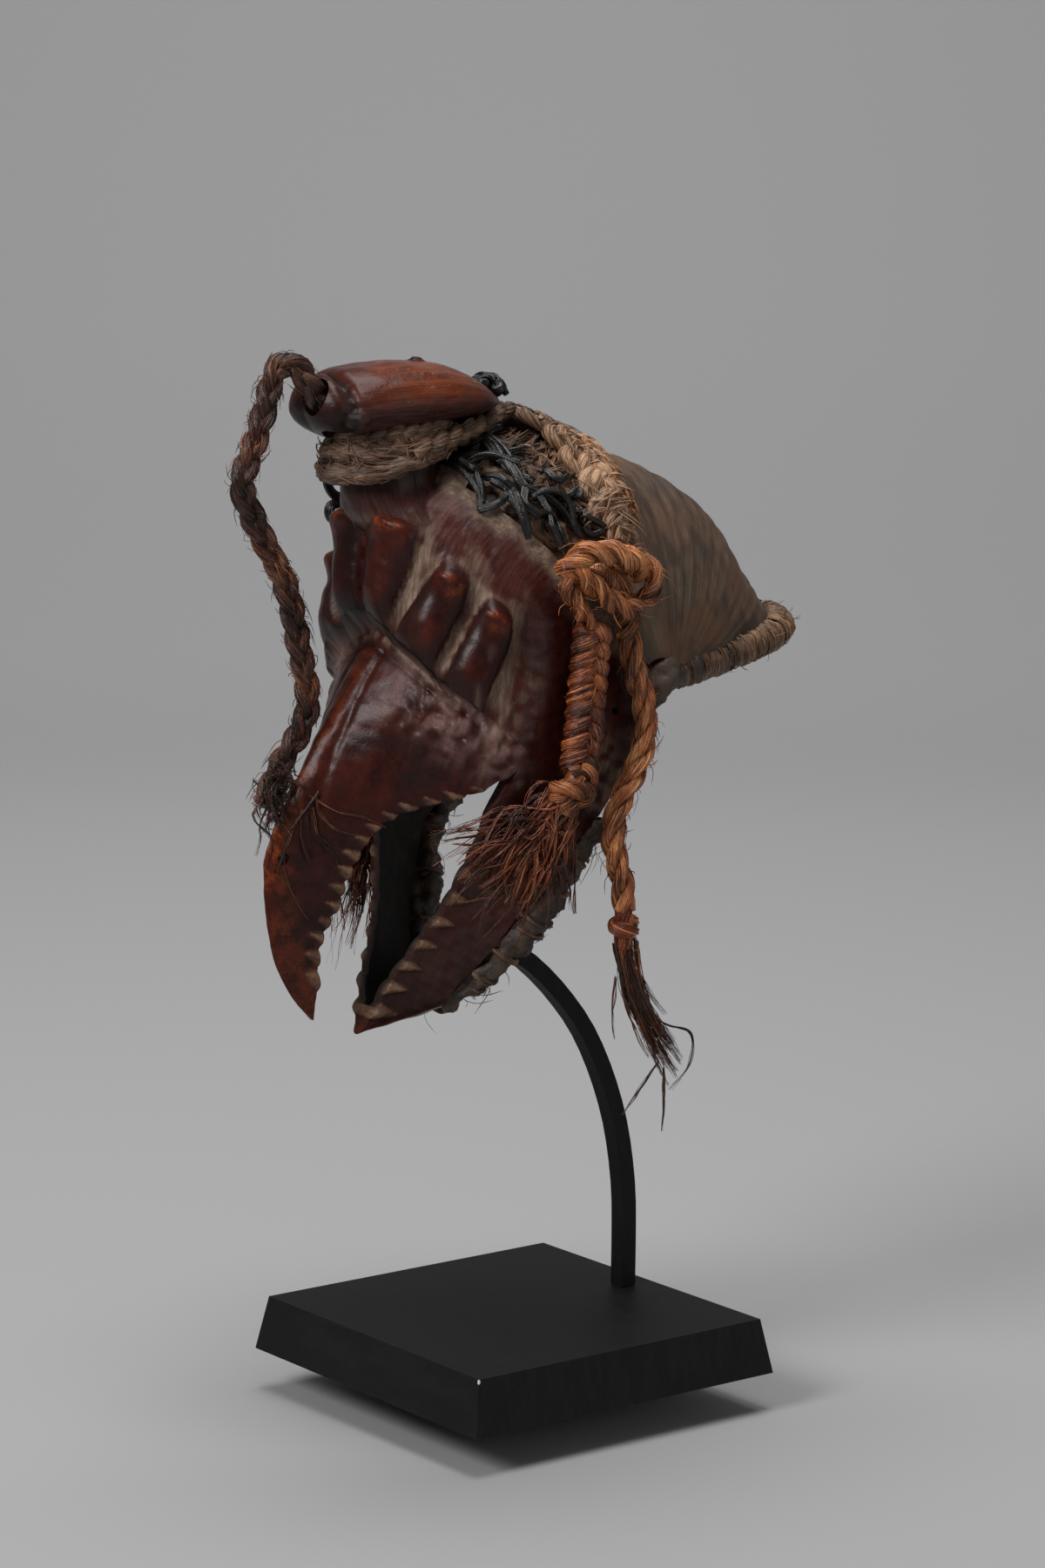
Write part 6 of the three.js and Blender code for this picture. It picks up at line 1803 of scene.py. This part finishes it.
def lacing(side, tag):
    """Vines, shreds of fibre and strips of hide over one side of the seam."""
    arcs = [FIRST_ARC, SECOND_ARC, THIRD_ARC, FOURTH_ARC, SEAM_VINE, *CREST_VINES, *CROSS_VINES]
    vines = [(route(proud(route(over_hood(v, side), 5.0), 3.4), 1.6), 2.0) for v in arcs]
    for line, step in SECOND_TURNS:
        vines.append((route(proud(route(over_hood(line[1:], side, step), 5.0), 2.6), 1.6), 1.7))
    rng = np.random.default_rng(61 if side > 0 else 62)
    for _ in range(11):
        around = rng.uniform(0.1, 0.92)
        turn = 120.5 + rng.normal() * 1.8
        steps = [(turn, around, rng.uniform(4, 6))]
        for _ in range(rng.integers(2, 4)):
            turn += rng.normal() * 3.0
            around += rng.normal() * 0.06
            steps.append((np.clip(turn, 116, 126), np.clip(around, 0.06, 0.95), rng.uniform(5.5, 9)))
        vines.append((route(over_hood(steps, side), 1.6), rng.uniform(1.0, 1.5)))
    if side < 0:
        vines += [(route(loop, 1.6), 1.9) for loop in FAR_LOOPS]
    piece = fibres(tag + "_lacing_vines", vines, VINE, Fibres=3, Turns=9.0, Seed=63, Sides=5,
                   Fibre_radius=1.15, Wobble=0.12, Inner_share=0.5, Core_share=0.95, Thin_ends=0.05)
    shreds = []
    for _ in range(84 if side > 0 else 40):
        first = (121.5 + rng.normal() * 3, rng.uniform(0.1, 0.95), rng.uniform(2, 6))
        shreds.append((route(over_hood(strayed(first, 3.5, 0.05, 3, 9, rng), side), 2.6), 1.0))
    fluff = fibres(tag + "_lacing_shreds", shreds, BROWN_PLAIT, Fibres=4, Turns=12.0, Core=False, Seed=64,
                   Fibre_radius=0.32, Wobble=0.6, Inner_share=0.2)
    hides = []
    for k, (turn, size) in enumerate(HIDE_STRIPS):
        i = np.arange(8)
        strip = np.stack([turn + 1.6 * np.sin(3.1 * i + k), 0.04 + 0.13 * i,
                          1.5 + 0.9 * np.sin(2.3 * i + 2 * k)], 1)
        line = route(over_hood(strip, side), 1.7)
        radii = size * (1 + 0.22 * ripple(line, 9, 66 + k))
        hides.append(rolled("lacing_hide", line, radii, BROWN_PLAIT, 70 + k, columns=18, lumps=2.4))
    settle(join(tag + "_lacing_fibres", [piece, fluff, *hides]), "dark_vine", tag + "_lacing")


LUMP_ROWS = 22
LUMP_COLUMNS = 34


def lump(name, at, size, look, seed):
    """A knobbly closed lump."""
    rings = []
    for t in np.linspace(0.06, math.pi - 0.06, LUMP_ROWS):
        a = np.linspace(0, 2 * math.pi, LUMP_COLUMNS, endpoint=False)
        rings.append(np.stack([np.sin(t) * np.cos(a), np.sin(t) * np.sin(a),
                               np.full(LUMP_COLUMNS, math.cos(t))], 1))
    points = np.array(rings).reshape(-1, 3) * size
    swell = 1 + 0.08 * ripple(points, 6, seed) + 0.025 * ripple(points, 2.4, seed + 1)
    points = points * swell[:, None]
    piece = closed_piece(name, *loft((points + at).reshape(LUMP_ROWS, LUMP_COLUMNS, 3)))
    store(piece, "shade", np.full(len(piece.data.vertices), 0.3))
    dress(piece, look)
    shade_smooth(piece)
    return piece


CROWN_VINES = [([(-9, -29, 523), (-8, -24, 531), (-2, -20, 533), (4, -18, 529), (5, -15, 523)], 1.7),
               ([(-4, -31, 524), (-1, -27, 531), (2, -22, 532), (6, -20, 526)], 1.5)]


def crown_knot():
    """Two dark lumps with a vine over them, behind the crest."""
    first = lump("crown_lump", (-4, -24.5, 528.5), (6.3, 6.3, 5.0), VINE, 65)
    second = lump("crown_lump_behind", (1.5, -18.5, 526.5), (5.8, 5.0, 4.8), VINE, 67)
    loops = [(route(points, 1.5), radius) for points, radius in CROWN_VINES]
    vine = fibres("crown_vines", loops, VINE, Fibres=3, Turns=45.0, Seed=68, Sides=5,
                  Fibre_radius=0.8, Wobble=0.2, Inner_share=0.6, Core_share=0.85)
    settle(join("crown_knot_vines", [first, second, vine]), "dark_vine", "crown_knot")


# The binding follows the rear edge of cheeks and chin: x, down, forward and radius
BINDING_LINE = [(64, 90, -87.6, 6), (63, 105, -84.4, 5.4), (60, 122, -84.2, 7.6), (56, 133, -87.4, 8),
                (51, 145, -92, 9), (44, 161, -95.3, 9), (36, 177, -97.8, 7.5), (28, 189, -100.2, 6.8),
                (20, 198, -101.2, 5.6), (11, 203, -104.5, 4.8), (0, 204.5, -107, 4.6)]
# Its ties: place and half width, as shares of the line
BINDING_TIES = [(0.09, 0.010), (0.16, 0.008), (0.235, 0.018), (0.31, 0.010), (0.375, 0.018), (0.5, 0.02),
                (0.6, 0.012), (0.7, 0.016), (0.8, 0.01), (0.9, 0.012)]
TIE_POINTS = 34


def jaw_binding():
    """A hide roll along the rear edge, tied with thin fibre."""
    x, down, forward, radius = np.array(BINDING_LINE, float).T
    left = seat(x, forward, down)
    line = route(np.vstack([left, (left * (-1, 1, 1))[-2::-1]]), 2.4)
    share = np.linspace(0, 1, len(line))
    half = 1 - np.abs(2 * share - 1)
    radii = np.interp(half * (len(radius) - 1), np.arange(len(radius)), radius)
    core = rolled("binding_roll", line, radii * (1 + 0.12 * ripple(line, 14, 71)), LEATHER, 72, columns=30,
                  lumps=3.4)
    _, side, cross = frames(line)
    ties = []
    for centre, wide in BINDING_TIES:
        turn = np.linspace(0, 2 * math.pi * 1.4, TIE_POINTS) + centre * 40
        at = (centre + np.linspace(-wide, wide, TIE_POINTS)) * (len(line) - 1)
        r = np.interp(at, np.arange(len(line)), radii) + 0.6
        out = on_circle(turn, read_rows(at, side), read_rows(at, cross))
        ties.append((read_rows(at, line) + r[:, None] * out, 1.2))
    wraps = fibres("binding_ties", ties, BROWN_PLAIT, Fibres=10, Turns=30.0, Seed=73, Fibre_radius=0.3,
                   Wobble=0.5, Inner_share=0.7, Core_share=0.85)
    hair = single_hairs("binding_hairs", fuzz(line, 6.5, 210, 11, 74), DARK_RAFFIA, 75, 0.3)
    settle(join("jaw_binding_hide", [core, wraps, hair]), "dark_leather", "jaw_binding")


lacing(1, "left")
lacing(-1, "right")
crown_knot()
jaw_binding()


# Studio: a pale floor that curves up behind, a large soft light from the left and weak fill
FLOOR_PROFILE = [(-5.0, 0.0), (1.6, 0.0), (2.4, 0.07), (3.0, 0.4), (3.3, 1.0), (3.4, 6.0)]
FLOOR_HALF_WIDTH = 7000
FLOOR_TURN = 52.2
PAPER_COLOUR = (0.355, 0.355, 0.36, 1)
PAPER_ROUGHNESS = 0.9
SKY_COLOUR = (1, 1, 1.01, 1)
SKY_STRENGTH = 0.15
MASK_MIDDLE = (0.0, -0.03, 0.38)
BACKDROP_MIDDLE = (-2.2, 1.7, 0.6)
# Each lamp: place, width, power and what it points at
LAMPS = {"key": ((0.35, -2.3, 1.9), 1.1, 50.0, MASK_MIDDLE),
         "top": ((0.5, -0.3, 2.6), 1.0, 24.0, MASK_MIDDLE),
         "fill": ((2.6, 0.9, 0.9), 1.4, 7.0, MASK_MIDDLE),
         "back": ((-0.6, 0.4, 2.9), 1.8, 52.0, BACKDROP_MIDDLE)}


def studio_floor():
    """The curved sheet of pale paper, turned to face the camera."""
    profile = route([(0, y / MM, z / MM) for y, z in FLOOR_PROFILE], 60)[:, 1:]
    columns = (-FLOOR_HALF_WIDTH, 0, FLOOR_HALF_WIDTH)
    points = [(x, y, z) for y, z in profile for x in columns]
    faces = []
    for row in range(len(profile) - 1):
        for a in (row * 3, row * 3 + 1):
            faces.append((a, a + 1, a + 4, a + 3))
    floor = new_mesh("floor", points, faces)
    floor.data.transform(Matrix.Rotation(math.radians(FLOOR_TURN), 4, "Z"))
    floor.data.shade_smooth()
    look, _, skin = new_look("studio paper")
    skin["Base Color"].default_value = PAPER_COLOUR
    skin["Roughness"].default_value = PAPER_ROUGHNESS
    dress(floor, look)


def studio_light():
    """A weak even sky and four round lamps."""
    world = bpy.data.worlds.new("studio")
    scene.world = world
    world.use_nodes = True
    sky = world.node_tree.nodes["Background"].inputs
    sky["Color"].default_value = SKY_COLOUR
    sky["Strength"].default_value = SKY_STRENGTH
    for name, (at, size, power, target) in LAMPS.items():
        data = bpy.data.lights.new(name, "AREA")
        data.shape = "DISK"
        data.size = size
        data.energy = power
        light = bpy.data.objects.new(name, data)
        aim = Vector(target) - Vector(at)
        light.matrix_world = Matrix.Translation(at) @ aim.to_track_quat("-Z", "Y").to_matrix().to_4x4()
        scene.collection.objects.link(light)


studio_floor()
studio_light()
scene.view_settings.view_transform = "Standard"
